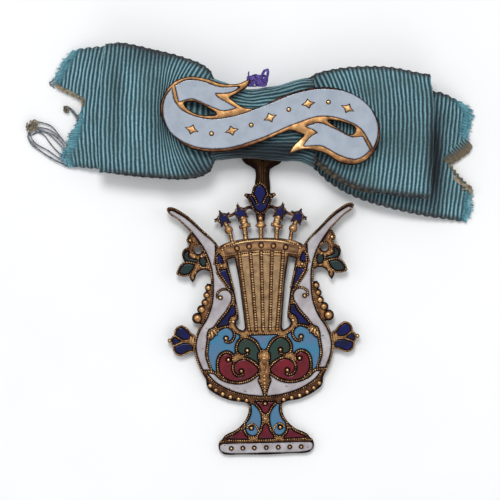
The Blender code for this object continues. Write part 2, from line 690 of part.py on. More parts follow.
def scroll_outline():
    """The scroll's silhouette, with its two forked ends."""
    left = scroll_curve((1.8, 48), (0.4, 57), (4.5, 72), (15, 84), (30, 89), (46, 87), (62, 82), (78, 81.7),
                        (90, 86.8))
    fork = scroll_curve((88.4, 80.6), (80, 73.4), (69.6, 67.6)) + scroll_curve((75, 63.6), (84, 58.2))
    top = scroll_curve((95.6, 57.5), (120, 68.5), (150, 77.4), (174, 77.6), (195, 70.4), (212, 55.5),
                               (219.7, 35), (215.5, 16), (201, 2.5), (182, 2), (162, 13), (142, 15.8), (128, 11))
    hook = scroll_curve((131, 17), (143.6, 30.4)) + scroll_curve((138, 32.6), (130, 35))
    bottom = scroll_curve((123, 32.5), (102, 23.7), (78, 16), (52, 13.3), (26, 19.7), (8.6, 36))
    return joined(left, fork, top, hook, bottom)


def scroll_slots():
    """The two openings where the scroll turns over."""
    left = scroll_curve((24.4, 62.2), (34, 63.8), (47, 58), (56.4, 51.2), (45, 50.2), (30, 55.2), closed=True)
    right = scroll_curve((167.8, 44.8), (182, 43.2), (195, 36), (192.6, 31.4), (178, 37.5), closed=True)
    return [left, right]


def scroll_enamels():
    """The three white fields: the banner and the two turned ends."""
    banner = joined(
        scroll_curve((12, 76.6), (13.4, 67.4), (20, 57), (34, 49.2), (50, 46), (72, 48.5), (106, 60), (135, 71.5),
                             (165, 76.2), (188, 72.5), (209, 57.5), (216.9, 38), (212.4, 18)),
        scroll_curve((209.4, 23.6), (200.5, 37), (184, 46), (160, 49.7), (136, 42.7), (98, 26.8), (60, 17.3),
                             (32, 20.5), (11, 34), (4, 52), (7.5, 70.5)))
    left = joined(
        scroll_curve((15.8, 79.6), (26, 84.6), (40, 84.2), (60, 77.9), (79.6, 78.2)),
        scroll_curve((72, 73.8), (62, 72.4), (54.8, 72.6)), scroll_curve((55.4, 71), (66, 63), (75.6, 57.4)),
        scroll_curve((64, 55.2), (48, 60.6), (32, 66.9), (19.4, 63.8)))
    right = joined(
        scroll_curve((143.4, 19.6), (150, 28), (157.8, 32.6)), scroll_curve((154, 35.6), (146, 39)),
        scroll_curve((158, 42), (174, 36.5), (194, 27.8), (202, 28.6)),
        scroll_curve((208.8, 15.4), (196, 7), (179, 11), (160, 20.2)))
    return {"scroll_banner": banner, "scroll_turn_left": left, "scroll_turn_right": right}


def build_scroll(parent):
    """The scroll's gilt frame and its three enamels."""
    fields = scroll_enamels()
    relief("scroll_frame", "gilt", parent, (SCROLL_FLOOR, SCROLL_TOP, 0), [scroll_outline()], scroll_slots(),
           list(fields.values()), [], [])
    for name, outline in fields.items():
        inlay(name, "scroll_white", parent, offset(outline, -ENAMEL_GAP), [], SCROLL_FLOOR + ENAMEL_GAP,
              SCROLL_TOP - ENAMEL_DROP)


# Ribbon bow; widths and heights as shares of RIBBON_WIDTH, measured up from the bow's axis

# Share of a loop's length from the axis, its upper edge, its lower edge
LEFT_LOOP_ROWS = ((0.36, 0.41, -0.425), (0.46, 0.46, -0.452), (0.587, 0.505, -0.458), (0.714, 0.541, -0.443),
                  (0.841, 0.578, -0.428), (0.924, 0.592, -0.413), (1.0, 0.578, -0.383))
RIGHT_LOOP_ROWS = ((0.345, 0.352, -0.345), (0.407, 0.378, -0.41), (0.497, 0.395, -0.483), (0.6, 0.405, -0.532),
                   (0.792, 0.395, -0.583), (0.9, 0.366, -0.6), (1.0, 0.315, -0.607))
# Share of half the knot's width, then its upper and lower edge as shares of KNOT_HEIGHT
KNOT_ROWS = ((-1.0, 0.52, -0.505), (-0.53, 0.412, -0.47), (-0.25, 0.376, -0.475), (0.08, 0.402, -0.49),
             (0.55, 0.468, -0.507), (1.0, 0.51, -0.56))
# Share of a tail's length, its upper edge, its lower edge, its height as a share of TAIL_BACK
LEFT_TAIL_ROWS = ((0.3, 0.40, -0.30, 1.0), (0.55, 0.52, -0.37, 0.95), (0.75, 0.56, -0.37, 0.6),
                  (1.0, 0.55, -0.36, 0.0))
RIGHT_TAIL_ROWS = ((0.3, 0.30, -0.33, 1.0), (0.55, 0.32, -0.56, 0.9), (0.75, 0.27, -0.68, 0.55),
                   (1.0, 0.12, -0.78, 0.0))
# Share of the width from the lower edge, and where the tail ends there as a share of its length
LEFT_END = ((0.0, 0.93), (0.09, 0.958), (0.29, 0.90), (0.57, 0.838), (0.69, 0.962), (0.74, 1.0), (0.82, 0.968),
            (1.0, 0.90))
RIGHT_END = ((0.0, 0.977), (0.1, 0.995), (0.26, 1.0), (0.40, 0.925), (0.5, 0.885), (0.56, 0.955), (0.67, 0.988),
             (0.9, 0.998), (1.0, 0.951))


def table_value(rows, share, column):
    """A column of a table at a share, read off straight lines between its rows."""
    if share <= rows[0][0]:
        return rows[0][column]
    for low, high in zip(rows, rows[1:]):
        if share <= high[0]:
            return low[column] + (high[column] - low[column]) * (share - low[0]) / (high[0] - low[0])
    return rows[-1][column]


def knot_edges(x):
    """The upper and lower edge of the knot at a place across it."""
    share = max(-1.0, min(1.0, x / (KNOT_WIDTH / 2)))
    return table_value(KNOT_ROWS, share, 1) * KNOT_HEIGHT, table_value(KNOT_ROWS, share, 2) * KNOT_HEIGHT


def waist_edges(x):
    """The edges of a ribbon gathered inside the knot."""
    upper, lower = knot_edges(x)
    return upper - WAIST_INSET, lower + WAIST_INSET


def thick_sheet(name, colour, parent, rows, thickness, ring=False):
    """A closed wall of even thickness about a grid of points, open at its edges or closed to a ring."""
    count, width = len(rows), len(rows[0])
    bm = bmesh.new()
    layers = ([], [])
    for i, row in enumerate(rows):
        before = rows[i - 1] if i > 0 or ring else row
        after = rows[(i + 1) % count] if i < count - 1 or ring else row
        for layer in layers:
            layer.append([])
        for j, point in enumerate(row):
            along = after[j] - before[j]
            across = row[min(j + 1, width - 1)] - row[max(j - 1, 0)]
            normal = along.cross(across).normalized() * thickness / 2
            layers[0][i].append(bm.verts.new(point + normal))
            layers[1][i].append(bm.verts.new(point - normal))
    for i in range(count if ring else count - 1):
        k = (i + 1) % count
        for j in range(width - 1):
            for layer in layers:
                bm.faces.new((layer[i][j], layer[k][j], layer[k][j + 1], layer[i][j + 1]))
        for j in (0, width - 1):
            bm.faces.new((layers[0][i][j], layers[0][k][j], layers[1][k][j], layers[1][i][j]))
    for i in () if ring else (0, count - 1):
        for j in range(width - 1):
            bm.faces.new((layers[0][i][j], layers[0][i][j + 1], layers[1][i][j + 1], layers[1][i][j]))
    return finish(bm, name, colour, parent)


def loop_edges(x):
    """The upper and lower edge of the loops at a place along the bow."""
    if abs(x) <= WAIST_END:
        return waist_edges(x)
    rows, length = (LEFT_LOOP_ROWS, LEFT_LOOP) if x < 0 else (RIGHT_LOOP_ROWS, RIGHT_LOOP)
    first = rows[0][0] * length
    upper, lower = (table_value(rows, abs(x) / length, k) * RIBBON_WIDTH for k in (1, 2))
    if abs(x) >= first:
        return upper, lower
    waist = waist_edges(x)
    share = (abs(x) - WAIST_END) / (first - WAIST_END)
    return waist[0] + (upper - waist[0]) * share, waist[1] + (lower - waist[1]) * share


def loop_height(x, share):
    """How far a loop's front is puffed up, with gathers that die away from the knot."""
    if abs(x) <= WAIST_END:
        return 0.0
    length = LEFT_LOOP if x < 0 else RIGHT_LOOP
    along = (abs(x) - WAIST_END) / (length - WAIST_END)
    gather = 0.45 * (1 - along) * math.cos(4 * math.pi * share)
    return LOOP_PUFF * math.sin(math.pi * min(along, 1)) * (1 + gather)


def build_loops(parent):
    """Both loops: one ring of ribbon, flattened, gathered at the waist and open along both edges."""
    across = [k / 6 for k in range(7)]
    left = [-LEFT_LOOP * row[0] for row in LEFT_LOOP_ROWS[::-1]]
    right = [RIGHT_LOOP * row[0] for row in RIGHT_LOOP_ROWS]
    waist = [KNOT_WIDTH / 2 * row[0] for row in KNOT_ROWS[1:-1]]
    stations = left + [-WAIST_END] + waist + [WAIST_END] + right
    front, back = LOOP_FRONT + RIBBON / 2, LOOP_BACK + RIBBON / 2
    reach = (front - back) / 2

    def row_at(x, z, puff, shift=0):
        upper, lower = loop_edges(x)
        return [Vector((x + shift, lower + (upper - lower) * t, z + puff * loop_height(x, t))) for t in across]

    def fold(x, side):
        turns = [math.pi * k / FOLD_STEPS for k in range(1, FOLD_STEPS)]
        return [row_at(x, back + reach + reach * math.cos(a), 0, side * LOOP_ROUND * math.sin(a)) for a in turns]

    rows = [row_at(x, front, 1) for x in stations] + fold(stations[-1], 1)
    rows += [row_at(x, back, 0) for x in reversed(stations)] + fold(stations[0], -1)[::-1]
    return thick_sheet("bow_loops", "ribbon", parent, rows, RIBBON, ring=True)


def tail_row(x, side, t_values, end):
    """One row of points across a tail, with the tail's forked end at share 1."""
    rows, length = (LEFT_TAIL_ROWS, LEFT_TAIL) if side < 0 else (RIGHT_TAIL_ROWS, RIGHT_TAIL)
    points = []
    for t in t_values:
        reach = x * table_value(end, t, 1) * length
        upper, lower = (table_value(rows, abs(reach) / length, k) * RIBBON_WIDTH for k in (1, 2))
        if abs(reach) <= WAIST_END:
            upper, lower = waist_edges(side * reach)
        height = TAIL_BACK * table_value(rows, abs(reach) / length, 3) + RIBBON / 2
        points.append(Vector((side * reach, lower + (upper - lower) * t, height)))
    return points


def build_tails(parent):
    """The ribbon behind the loops, with a forked end on each side that sinks to the surface it lies on."""
    across = sorted({row[0] for row in LEFT_END} | {row[0] for row in RIGHT_END})
    shares = (0.0, 0.14, 0.235, 0.4, 0.55, 0.7, 0.85, 1.0)
    left = [tail_row(share, -1, across, LEFT_END) for share in shares[:0:-1]]
    right = [tail_row(share, 1, across, RIGHT_END) for share in shares]
    return thick_sheet("bow_tails", "ribbon", parent, left + right, RIBBON)


def build_knot(parent):
    """The band round the waist: a flat ring whose upper and lower folds follow the gathers."""
    front, back = KNOT_FRONT + RIBBON / 2, KNOT_BACK + RIBBON / 2
    middle, reach = (front + back) / 2, (front - back) / 2
    columns = [KNOT_WIDTH / 2 * share for share in (-1, -0.77, -0.53, -0.25, 0.08, 0.32, 0.55, 0.78, 1)]
    rows = []
    for side, start in ((1, 0.0), (-1, math.pi)):
        for k in range(2 * FOLD_STEPS + 1):
            angle = start + math.pi * k / (2 * FOLD_STEPS)
            row = []
            for x in columns:
                upper, lower = knot_edges(x)
                edge = (upper if side > 0 else lower) - side * (KNOT_ROUND + RIBBON / 2)
                row.append(Vector((x, edge + KNOT_ROUND * math.sin(angle), middle + reach * math.cos(angle))))
            rows.append(row)
    return thick_sheet("knot_band", "ribbon", parent, rows, RIBBON, ring=True)


def knot_foot():
    """The height of the knot's lower edge at the bow's middle."""
    return knot_edges(0)[1]


def build_hanger(parent):
    """The strap that carries the lyre: flared behind the knot, plain behind the palmette."""
    foot = knot_foot()
    flare = HANGER_SHOWN * 0.4
    end = foot - HANGER_SHOWN - HANGER_LAP
    narrow, wide = HANGER_WIDTH / 2, HANGER_FLARE / 2
    curve = smooth([Vector((narrow, end)), Vector((narrow, foot - HANGER_SHOWN)), Vector((narrow, foot - flare)),
                    Vector((0.8 * wide, foot - 0.3 * flare)), Vector((wide, foot + HANGER_HIDDEN / 4))])
    head = [Vector((wide, foot + HANGER_HIDDEN)), Vector((0, foot + HANGER_HIDDEN))]
    outline = whole([Vector((0, end))] + curve + head)
    return inlay("hanger", "bronze", parent, outline, [], HANGER_BACK, HANGER_BACK + HANGER_THICKNESS)


def build_pin(parent):
    """The brooch pin hidden behind the knot, one plain bar."""
    x, y = PIN_LENGTH / 2, PIN_WIDTH / 2
    half = [Vector((0, -y)), Vector((x - PIN_CORNER, -y)), Vector((x, -y + PIN_CORNER)),
            Vector((x, y - PIN_CORNER)), Vector((x - PIN_CORNER, y)), Vector((0, y))]
    outline = [p + Vector((0, PIN_RISE)) for p in whole(half)]
    return inlay("brooch_pin", "bronze", parent, outline, [], 0, PIN_THICKNESS)


def lyre_tilt():
    """The lyre's slope: its foot on the surface, its palmette resting on the strap."""
    rise = HANGER_BACK + HANGER_THICKNESS + 1.1 * CLEARANCE
    return math.asin(rise / (LYRE_HEIGHT - HANGER_LAP))


def settle(root):
    """Moves the badge so that its origin is under the middle of its box."""
    bpy.context.view_layer.update()
    pieces = [thing for thing in bpy.data.objects if thing.type == "MESH"]
    corners = [piece.matrix_world @ v.co for piece in pieces for v in piece.data.vertices]
    for axis in range(2):
        values = [c[axis] for c in corners]
        root.location[axis] = -(min(values) + max(values)) / 2
    root.location.z = -min(c.z for c in corners)


def main():
    clear_scene()
    badge = frame_empty("badge")
    tilt = lyre_tilt()
    drop = knot_foot() - HANGER_SHOWN - LYRE_HEIGHT * math.cos(tilt)
    lyre = frame_empty("lyre", badge, (LYRE_SHIFT, drop, 0), (tilt, 0, LYRE_LEAN))
    build_lyre(lyre)
    corner = SCROLL_SHIFT - Vector((SCROLL_WIDTH, SCROLL_HEIGHT)) / 2
    scroll = frame_empty("scroll", badge, (corner.x, corner.y, SCROLL_BACK))
    build_scroll(scroll)
    build_tails(badge)
    build_loops(badge)
    build_knot(badge)
    build_hanger(badge)
    build_pin(badge)
    settle(badge)


main()
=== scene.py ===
# %% [markdown]
# # A music competition badge
#
# The real badge is an enamelled gilt lyre, hung by a strap under a bow of ribbed silk ribbon,
# with an enamelled gilt scroll sewn to the bow's knot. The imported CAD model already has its
# sizes and places. This lesson dresses it: every piece of metal, enamel and ribbon is made
# again over the CAD solids with its real edges, beading and weave, and gets a finish built
# from nodes. Nothing is moved: the outlines are read back from the CAD solids themselves.

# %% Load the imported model
import json
import math

import bpy
import numpy as np
from mathutils import Matrix, Vector
from mathutils.geometry import convex_hull_2d, delaunay_2d_cdt
from mathutils.kdtree import KDTree


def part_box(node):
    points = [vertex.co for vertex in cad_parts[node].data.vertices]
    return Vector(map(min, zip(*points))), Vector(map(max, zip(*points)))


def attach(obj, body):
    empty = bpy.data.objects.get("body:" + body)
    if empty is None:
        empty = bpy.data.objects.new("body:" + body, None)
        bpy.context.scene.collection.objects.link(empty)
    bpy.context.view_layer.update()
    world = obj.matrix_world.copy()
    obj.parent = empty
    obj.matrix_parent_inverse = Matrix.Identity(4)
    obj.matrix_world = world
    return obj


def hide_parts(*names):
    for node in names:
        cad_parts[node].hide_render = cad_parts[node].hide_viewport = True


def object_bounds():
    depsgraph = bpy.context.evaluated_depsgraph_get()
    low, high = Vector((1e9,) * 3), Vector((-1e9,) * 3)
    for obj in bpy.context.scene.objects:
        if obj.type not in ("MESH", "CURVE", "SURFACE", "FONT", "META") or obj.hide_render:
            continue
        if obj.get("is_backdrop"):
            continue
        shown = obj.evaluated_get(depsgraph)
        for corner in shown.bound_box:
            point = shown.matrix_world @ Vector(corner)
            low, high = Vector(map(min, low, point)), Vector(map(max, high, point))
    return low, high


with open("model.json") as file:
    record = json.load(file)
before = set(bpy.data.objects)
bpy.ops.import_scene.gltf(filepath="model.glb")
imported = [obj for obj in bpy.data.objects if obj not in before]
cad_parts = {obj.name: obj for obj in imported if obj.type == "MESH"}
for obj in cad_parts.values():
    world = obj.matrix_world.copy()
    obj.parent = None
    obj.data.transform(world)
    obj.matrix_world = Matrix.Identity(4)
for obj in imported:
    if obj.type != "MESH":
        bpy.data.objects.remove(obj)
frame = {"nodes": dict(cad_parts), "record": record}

SOLIDS = frame["nodes"]
CAD_BOX = [[float(value) for value in corner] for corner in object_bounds()]
MM = 0.001
print(len(SOLIDS), "CAD solids, box", [[round(v / MM, 1) for v in corner] for corner in CAD_BOX])

# %% [markdown]
# ## A pixel of the photograph as a place on the badge
#
# The badge was photographed from straight above. One pixel is 0.2 mm, so a place that was
# measured on the photograph turns into a place on the badge with one subtraction and one
# multiplication. Its height always comes from the CAD solid that it lies on. Dirt and wear
# are placed the same way, as soft round spots over a few pixels each.

# %% Photograph to badge
PIXEL = 0.2 * MM
PHOTO_ZERO = (261.0, 249.56)


def seen_at(column, row, height=0.0):
    """The place on the badge under a pixel of the photograph."""
    return Vector(((column - PHOTO_ZERO[0]) * PIXEL, (PHOTO_ZERO[1] - row) * PIXEL, height))


def photo_of(x, y):
    """The pixel of the photograph, its column and its row, over a place on the badge."""
    return x / PIXEL + PHOTO_ZERO[0], PHOTO_ZERO[1] - y / PIXEL


def spots(table, column, row):
    """The strength of each soft spot of a table at a pixel: rows of (middle, reach, strength)."""
    return [strength * np.exp(-((column - c) / across) ** 2 - ((row - r) / along) ** 2)
            for (c, r), (across, along), strength in table]


print("The photograph's middle lies over", seen_at(250, 250))

# %% [markdown]
# ## Nodes for the finishes
#
# A finish is a small network of shader nodes. Making each node takes three lines in Blender,
# so one helper adds a node, fills its sockets and links it. Colours are written as a painter
# reads them off a screen, and turned into the linear light that the shader wants.

# %% Helpers for finishes
def paint(red, green, blue):
    """A colour as seen on a screen, 0 to 255, as linear light."""
    parts = [part / 255 for part in (red, green, blue)]
    return tuple(p / 12.92 if p <= 0.04045 else ((p + 0.055) / 1.055) ** 2.4 for p in parts) + (1.0,)


def add(tree, kind, inputs=None, **settings):
    """Adds a node. Each input is a number, a colour, or another node's output."""
    node = tree.nodes.new("ShaderNode" + kind)
    for name, value in settings.items():
        setattr(node, name, value)
    for name, value in (inputs or {}).items():
        if isinstance(value, bpy.types.NodeSocket):
            tree.links.new(value, node.inputs[name])
        else:
            node.inputs[name].default_value = value
    return node


def ramp(tree, factor, *stops):
    """A colour read off a ramp, from stops of (position, colour)."""
    node = add(tree, "ValToRGB", {"Fac": factor})
    marks = node.color_ramp.elements
    while len(marks) < len(stops):
        marks.new(0.5)
    for mark, (position, colour) in zip(marks, stops):
        mark.position, mark.color = position, colour
    return node.outputs["Color"]


def level(tree, factor, low, high):
    """A factor stretched so that low gives 0 and high gives 1."""
    return add(tree, "MapRange", {"Value": factor, "From Min": low, "From Max": high}).outputs["Result"]


def blend(tree, factor, under, over, kind="MIX"):
    """Two colours mixed by a factor."""
    node = add(tree, "Mix", {"Factor": factor}, data_type="RGBA", blend_type=kind)
    for place, value in ((6, under), (7, over)):
        if isinstance(value, bpy.types.NodeSocket):
            tree.links.new(value, node.inputs[place])
        else:
            node.inputs[place].default_value = value
    return node.outputs[2]


def sums(tree, kind, first, second):
    """The sum, product or difference of two factors, or what else Blender's Math node makes of them."""
    return add(tree, "Math", {0: first, 1: second}, operation=kind).outputs[0]


def mark_of(tree, name):
    """A number that the mesh carries at each of its points."""
    return add(tree, "Attribute", attribute_name=name).outputs["Fac"]


def noise(tree, scale, detail, where):
    """A cloudy factor: the clouds to one unit of length, their detail, and the place they are read at."""
    return add(tree, "TexNoise", {"Scale": scale, "Detail": detail, "Vector": where}).outputs["Fac"]


def new_finish(name, **sockets):
    """An empty finish: its tree, its surface shader and the place of a point on its piece."""
    made = bpy.data.materials.new(name)
    made.use_nodes = True
    tree = made.node_tree
    surface = tree.nodes["Principled BSDF"]
    for socket, value in sockets.items():
        surface.inputs[socket.replace("_", " ")].default_value = value
    return made, tree, surface, add(tree, "TexCoord").outputs["Object"]


def relief_from(tree, surface, height, strength, depth):
    """Bends the surface's light as if it had this relief, in metres."""
    bump = add(tree, "Bump", {"Height": height, "Strength": strength, "Distance": depth})
    tree.links.new(bump.outputs["Normal"], surface.inputs["Normal"])


print("Finish helpers ready")

# %% [markdown]
# ## Old gilding
#
# The lyre and the scroll are brass or silver washed with gold. Where hands rub them they are
# still bright; in the hollows the gold has gone brown, and dust and polish sit there nearly
# black. A mesh here carries a number for soot and painted shade: 0 on a worn top, 1 deep in a
# hollow, and on the balls and beads it also paints shade low on their sides and a highlight
# on their tops. The finish mixes three colours of gold by that number and a cloudy noise, and
# is rougher where it is darker.

# %% Gilt
GOLD_BRIGHT, GOLD_MIDDLE, GOLD_DEEP = paint(248, 212, 156), paint(184, 140, 92), paint(104, 70, 50)
HOLLOW = paint(38, 25, 24)


def gilt(name, soiled=0.0, roughness=0.3, bright=GOLD_BRIGHT, middle=GOLD_MIDDLE, deep=GOLD_DEEP, metal=1.0):
    """Gilding, more or less soiled, with brown hollows and scratches."""
    made, tree, surface, place = new_finish(name, Metallic=metal)
    cloud = noise(tree, 900.0, 5.0, place)
    grain = noise(tree, 6000.0, 2.0, place)
    # soot and painted shade from the mesh, plus the finish's own extra soot
    soot = sums(tree, "ADD", mark_of(tree, "soot"), soiled)
    darkness = sums(tree, "ADD", soot, level(tree, cloud, 0.15, 1.9))
    colour = ramp(tree, darkness, (0.08, bright), (0.32, middle), (0.58, deep), (0.88, HOLLOW))
    tree.links.new(colour, surface.inputs["Base Color"])
    rough = add(tree, "MapRange", {"Value": darkness, "To Min": roughness, "To Max": 0.75})
    tree.links.new(rough.outputs["Result"], surface.inputs["Roughness"])
    relief_from(tree, surface, sums(tree, "ADD", cloud, grain), 0.35, 0.03 * MM)
    return made


GILT = gilt("old gilding")
GILT_WIRE = gilt("gilt bead wire", roughness=0.22)
GILT_MATTE = gilt("matte gilding", 0.06, 0.5, paint(194, 162, 120), paint(164, 132, 92), paint(98, 70, 46),
                  metal=0.3)
GILT_YOKE = gilt("brown gilding", 0.06, 0.45, paint(206, 164, 114), paint(166, 124, 80), paint(96, 64, 42),
                 metal=0.4)
print("Gilt finishes:", GILT.name, GILT_WIRE.name, GILT_MATTE.name)

# %% [markdown]
# ## Bronze for the strap and the pin
#
# The strap that carries the lyre has lost its gilding: it is brown bronze, almost black at
# its edges, with a little bare metal along its raised middle.

# %% Bronze
BRONZE = gilt("brown bronze", 0.22, 0.42, paint(150, 108, 66), paint(84, 58, 36), paint(44, 30, 22))
print("Bronze finish:", BRONZE.name)

# %% [markdown]
# ## Enamel
#
# Enamel is ground glass, melted into the cells that the wires make. It is glossy and slightly
# wavy, thinner and darker towards the wires, and old dirt has settled along its edges, with
# painted shade where the wires stand over it. The mesh carries a number called rim, 1 at the
# wire and 0 inside, that the dirt and the painted shade follow. A clear coat over a slightly
# rougher body gives the soft double gloss of glass over colour.

# %% Enamel
def enamel(name, clear, clouded, dirt, dirt_and_shade_amount, specks, coat=0.35):
    """Glass in two shades of one colour, darkened along its edges by dirt and painted shade."""
    made, tree, surface, place = new_finish(
        name, Roughness=0.18, Coat_Weight=coat, Coat_Roughness=0.05, IOR=1.4)
    cloud = noise(tree, 420.0, 4.0, place)
    fine = noise(tree, 2600.0, 3.0, place)
    body = blend(tree, level(tree, cloud, 0.35, 0.68), clear, clouded)
    edge = sums(tree, "MULTIPLY", mark_of(tree, "rim"), level(tree, fine, 0.2, 0.62))
    # dirt and painted shade darken the glass along the wires
    soiled = blend(tree, sums(tree, "MULTIPLY", edge, dirt_and_shade_amount), body, dirt)
    speckles = level(tree, noise(tree, 1500.0, 1.0, place), 0.72, 0.78)
    speckled = blend(tree, sums(tree, "MULTIPLY", speckles, specks), soiled, dirt)
    tree.links.new(speckled, surface.inputs["Base Color"])
    relief_from(tree, surface, noise(tree, 700.0, 2.0, place), 0.25, 0.05 * MM)
    return made


# slot: name, clear glass, clouded glass, the colour of dirt and painted shade, how much of it
# at the edges, how many specks, and a thinner clear coat
GLASSES = {
    "white": ("lyre white", (188, 183, 185), (160, 152, 156), (66, 54, 60), 0.85, 0.9),
    "scroll_white": ("scroll white", (170, 178, 190), (156, 165, 178), (40, 30, 42), 0.95, 0.3),
    "cobalt": ("cobalt", (8, 15, 86), (6, 9, 46), (8, 8, 20), 0.85, 0, 0.15),
    "sky": ("sky", (60, 124, 156), (88, 116, 148), (40, 54, 78), 0.8, 0.4),
    "green": ("green", (34, 62, 54), (48, 52, 46), (18, 26, 26), 0.85, 0.3, 0.2),
    "leaf": ("leaf green", (22, 50, 48), (40, 48, 48), (14, 18, 20), 0.85, 0.3, 0.2),
    "red": ("red", (120, 22, 35), (86, 16, 27), (34, 12, 18), 0.85, 0.3, 0.25),
    "burgundy": ("burgundy", (106, 14, 36), (78, 12, 28), (30, 8, 16), 0.85, 0.2, 0.25),
}
ENAMELS = {slot: enamel(name + " enamel", paint(*clear), paint(*clouded), paint(*dirt), *amounts)
           for slot, (name, clear, clouded, dirt, *amounts) in GLASSES.items()}
print(len(ENAMELS), "enamels")

# %% [markdown]
# ## Reading outlines back from the CAD solids
#
# Each enamel and each cell of the frame is a flat shape in the CAD. Its rim is every edge
# that has a flat face on one side and a wall on the other. Walking from edge to edge gives
# closed outlines with the material on their left, as a graver would follow them.

# %% Outlines of flat faces
def weld(solid, to_flat):
    """A solid's points in its own flat frame, and its triangles on points that are shared."""
    mesh = SOLIDS[solid].data
    mesh.calc_loop_triangles()
    places = [to_flat @ v.co for v in mesh.vertices]
    tree = KDTree(len(places))
    for i, place in enumerate(places):
        tree.insert(place, i)
    tree.balance()
    first = [min(i for _, i, _ in tree.find_range(place, 0.001 * MM)) for place in places]
    triangles = [tuple(first[i] for i in t.vertices) for t in mesh.loop_triangles]
    return places, [t for t in triangles if len(set(t)) == 3]


def outlines(solid, to_flat, height, up=True):
    """The closed outlines of a solid's flat faces at a height, as lists of flat points."""
    places, triangles = weld(solid, to_flat)
    edges = set()
    for triangle in triangles:
        a, b, c = (places[i] for i in triangle)
        facing = (b - a).cross(c - a).normalized().z
        if abs(facing) > 0.99 and (facing > 0) == up and abs((a.z + b.z + c.z) / 3 - height) < 0.03 * MM:
            edges.update(zip(triangle, triangle[1:] + triangle[:1]))
    ahead = {}
    for i, j in sorted(edges):
        if (j, i) not in edges:
            ahead.setdefault(i, []).append(j)
    return walk(places, ahead)


def walk(places, ahead):
    """Follows the edges round until each outline closes."""
    found = []
    for start in list(ahead):
        while ahead[start]:
            path, here = [start], ahead[start].pop()
            while here != start:
                path.append(here)
                here = ahead[here].pop()
            found.append([places[i].xy for i in path])
    return found


def area_of(outline):
    return sum(a.x * b.y - b.x * a.y for a, b in zip(outline, outline[1:] + outline[:1])) / 2


print("Outlines of the scroll's top:", len(outlines("scroll_frame", Matrix(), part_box("scroll_frame")[1].z)))

# %% [markdown]
# ## The lyre's own frame
#
# The lyre lies tilted, its foot on the surface and its crown on the strap, and leans a little
# to one side. Its own frame is read from the solids: across from each left piece to its
# right twin, up from the top faces of the white base. In that frame the lyre is a flat
# drawing, and one step of the drawing's grid is again one pixel of the photograph.

# %% Lyre frame
def middle_of(solid):
    low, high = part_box(solid)
    return (low + high) / 2


def facing_of(solid):
    """The mean direction of a solid's top faces."""
    faces = [p for p in SOLIDS[solid].data.polygons if p.normal.z > 0.9]
    return sum((p.normal * p.area for p in faces), Vector()).normalized()


TWINS = sorted(name[:-6] for name in SOLIDS if name.endswith("_right") and not name.startswith("scroll"))
LYRE_FOOT_ROW = 0.6


def lyre_frame():
    up = facing_of("base_white")
    across = sum((middle_of(n + "_right") - middle_of(n + "_left") for n in TWINS), Vector())
    across = (across - up * across.dot(up)).normalized()
    along = up.cross(across)
    turn = Matrix((across, along, up)).transposed()
    flat = [turn.transposed() @ v.co for v in SOLIDS["lyre_frame"].data.vertices]
    mean = sum(((middle_of(n + "_right") + middle_of(n + "_left")) / 2 for n in TWINS), Vector()) / len(TWINS)
    zero = Vector(((turn.transposed() @ mean).x, min(p.y for p in flat) - LYRE_FOOT_ROW * PIXEL,
                   min(p.z for p in flat)))
    return Matrix.Translation(turn @ zero) @ turn.to_4x4()


LYRE = lyre_frame()
TO_LYRE = LYRE.inverted()
print("Lyre's frame at", [round(v / MM, 3) for v in LYRE.translation],
      "tilt", round(math.degrees(LYRE.to_euler().x), 2), "lean", round(math.degrees(LYRE.to_euler().z), 2))

# %% [markdown]
# ## Heights of the lyre and the scroll
#
# The plate, the walls and the balls stand at three heights. They are read from the solids
# too, as the heights at which flat faces look up.

# %% Heights
def flat_heights(solid, to_flat, smallest):
    """The heights of a solid's flat top faces, each of them with more area than the smallest one."""
    places, triangles = weld(solid, to_flat)
    found = {}
    for triangle in triangles:
        a, b, c = (places[i] for i in triangle)
        span = (b - a).cross(c - a)
        if span.length > 0 and span.normalized().z > 0.99:
            key = round((a.z + b.z + c.z) / 3 / (0.02 * MM))
            found[key] = found.get(key, 0) + span.length / 2
    return sorted(key * 0.02 * MM for key, area in found.items() if area > smallest)


PLATE_FLOOR, WALL_TOP, BALL_TOP = flat_heights("lyre_frame", TO_LYRE, 0.5 * MM * MM)
SCROLL = Matrix.Translation(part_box("scroll_frame")[0])
TO_SCROLL = SCROLL.inverted()
SCROLL_FLOOR, SCROLL_TOP = flat_heights("scroll_frame", TO_SCROLL, 0.5 * MM * MM)
print("Plate, walls and balls of the lyre:", [round(h / MM, 2) for h in (PLATE_FLOOR, WALL_TOP, BALL_TOP)],
      "scroll:", [round(h / MM, 2) for h in (SCROLL_FLOOR, SCROLL_TOP)])

# %% [markdown]
# ## Smooth curves through the corners of a solid
#
# The CAD keeps its curves short of points. A goldsmith's wire flows, so each outline is drawn
# again as a smooth curve through the same points. Sharp corners stay sharp: at a corner the
# curve has no shared direction, and each side sets off straight.

# %% Flowing curves
CORNER = math.radians(40)
SHARPEST, STILL_CLEAR = 0.6, 0.94


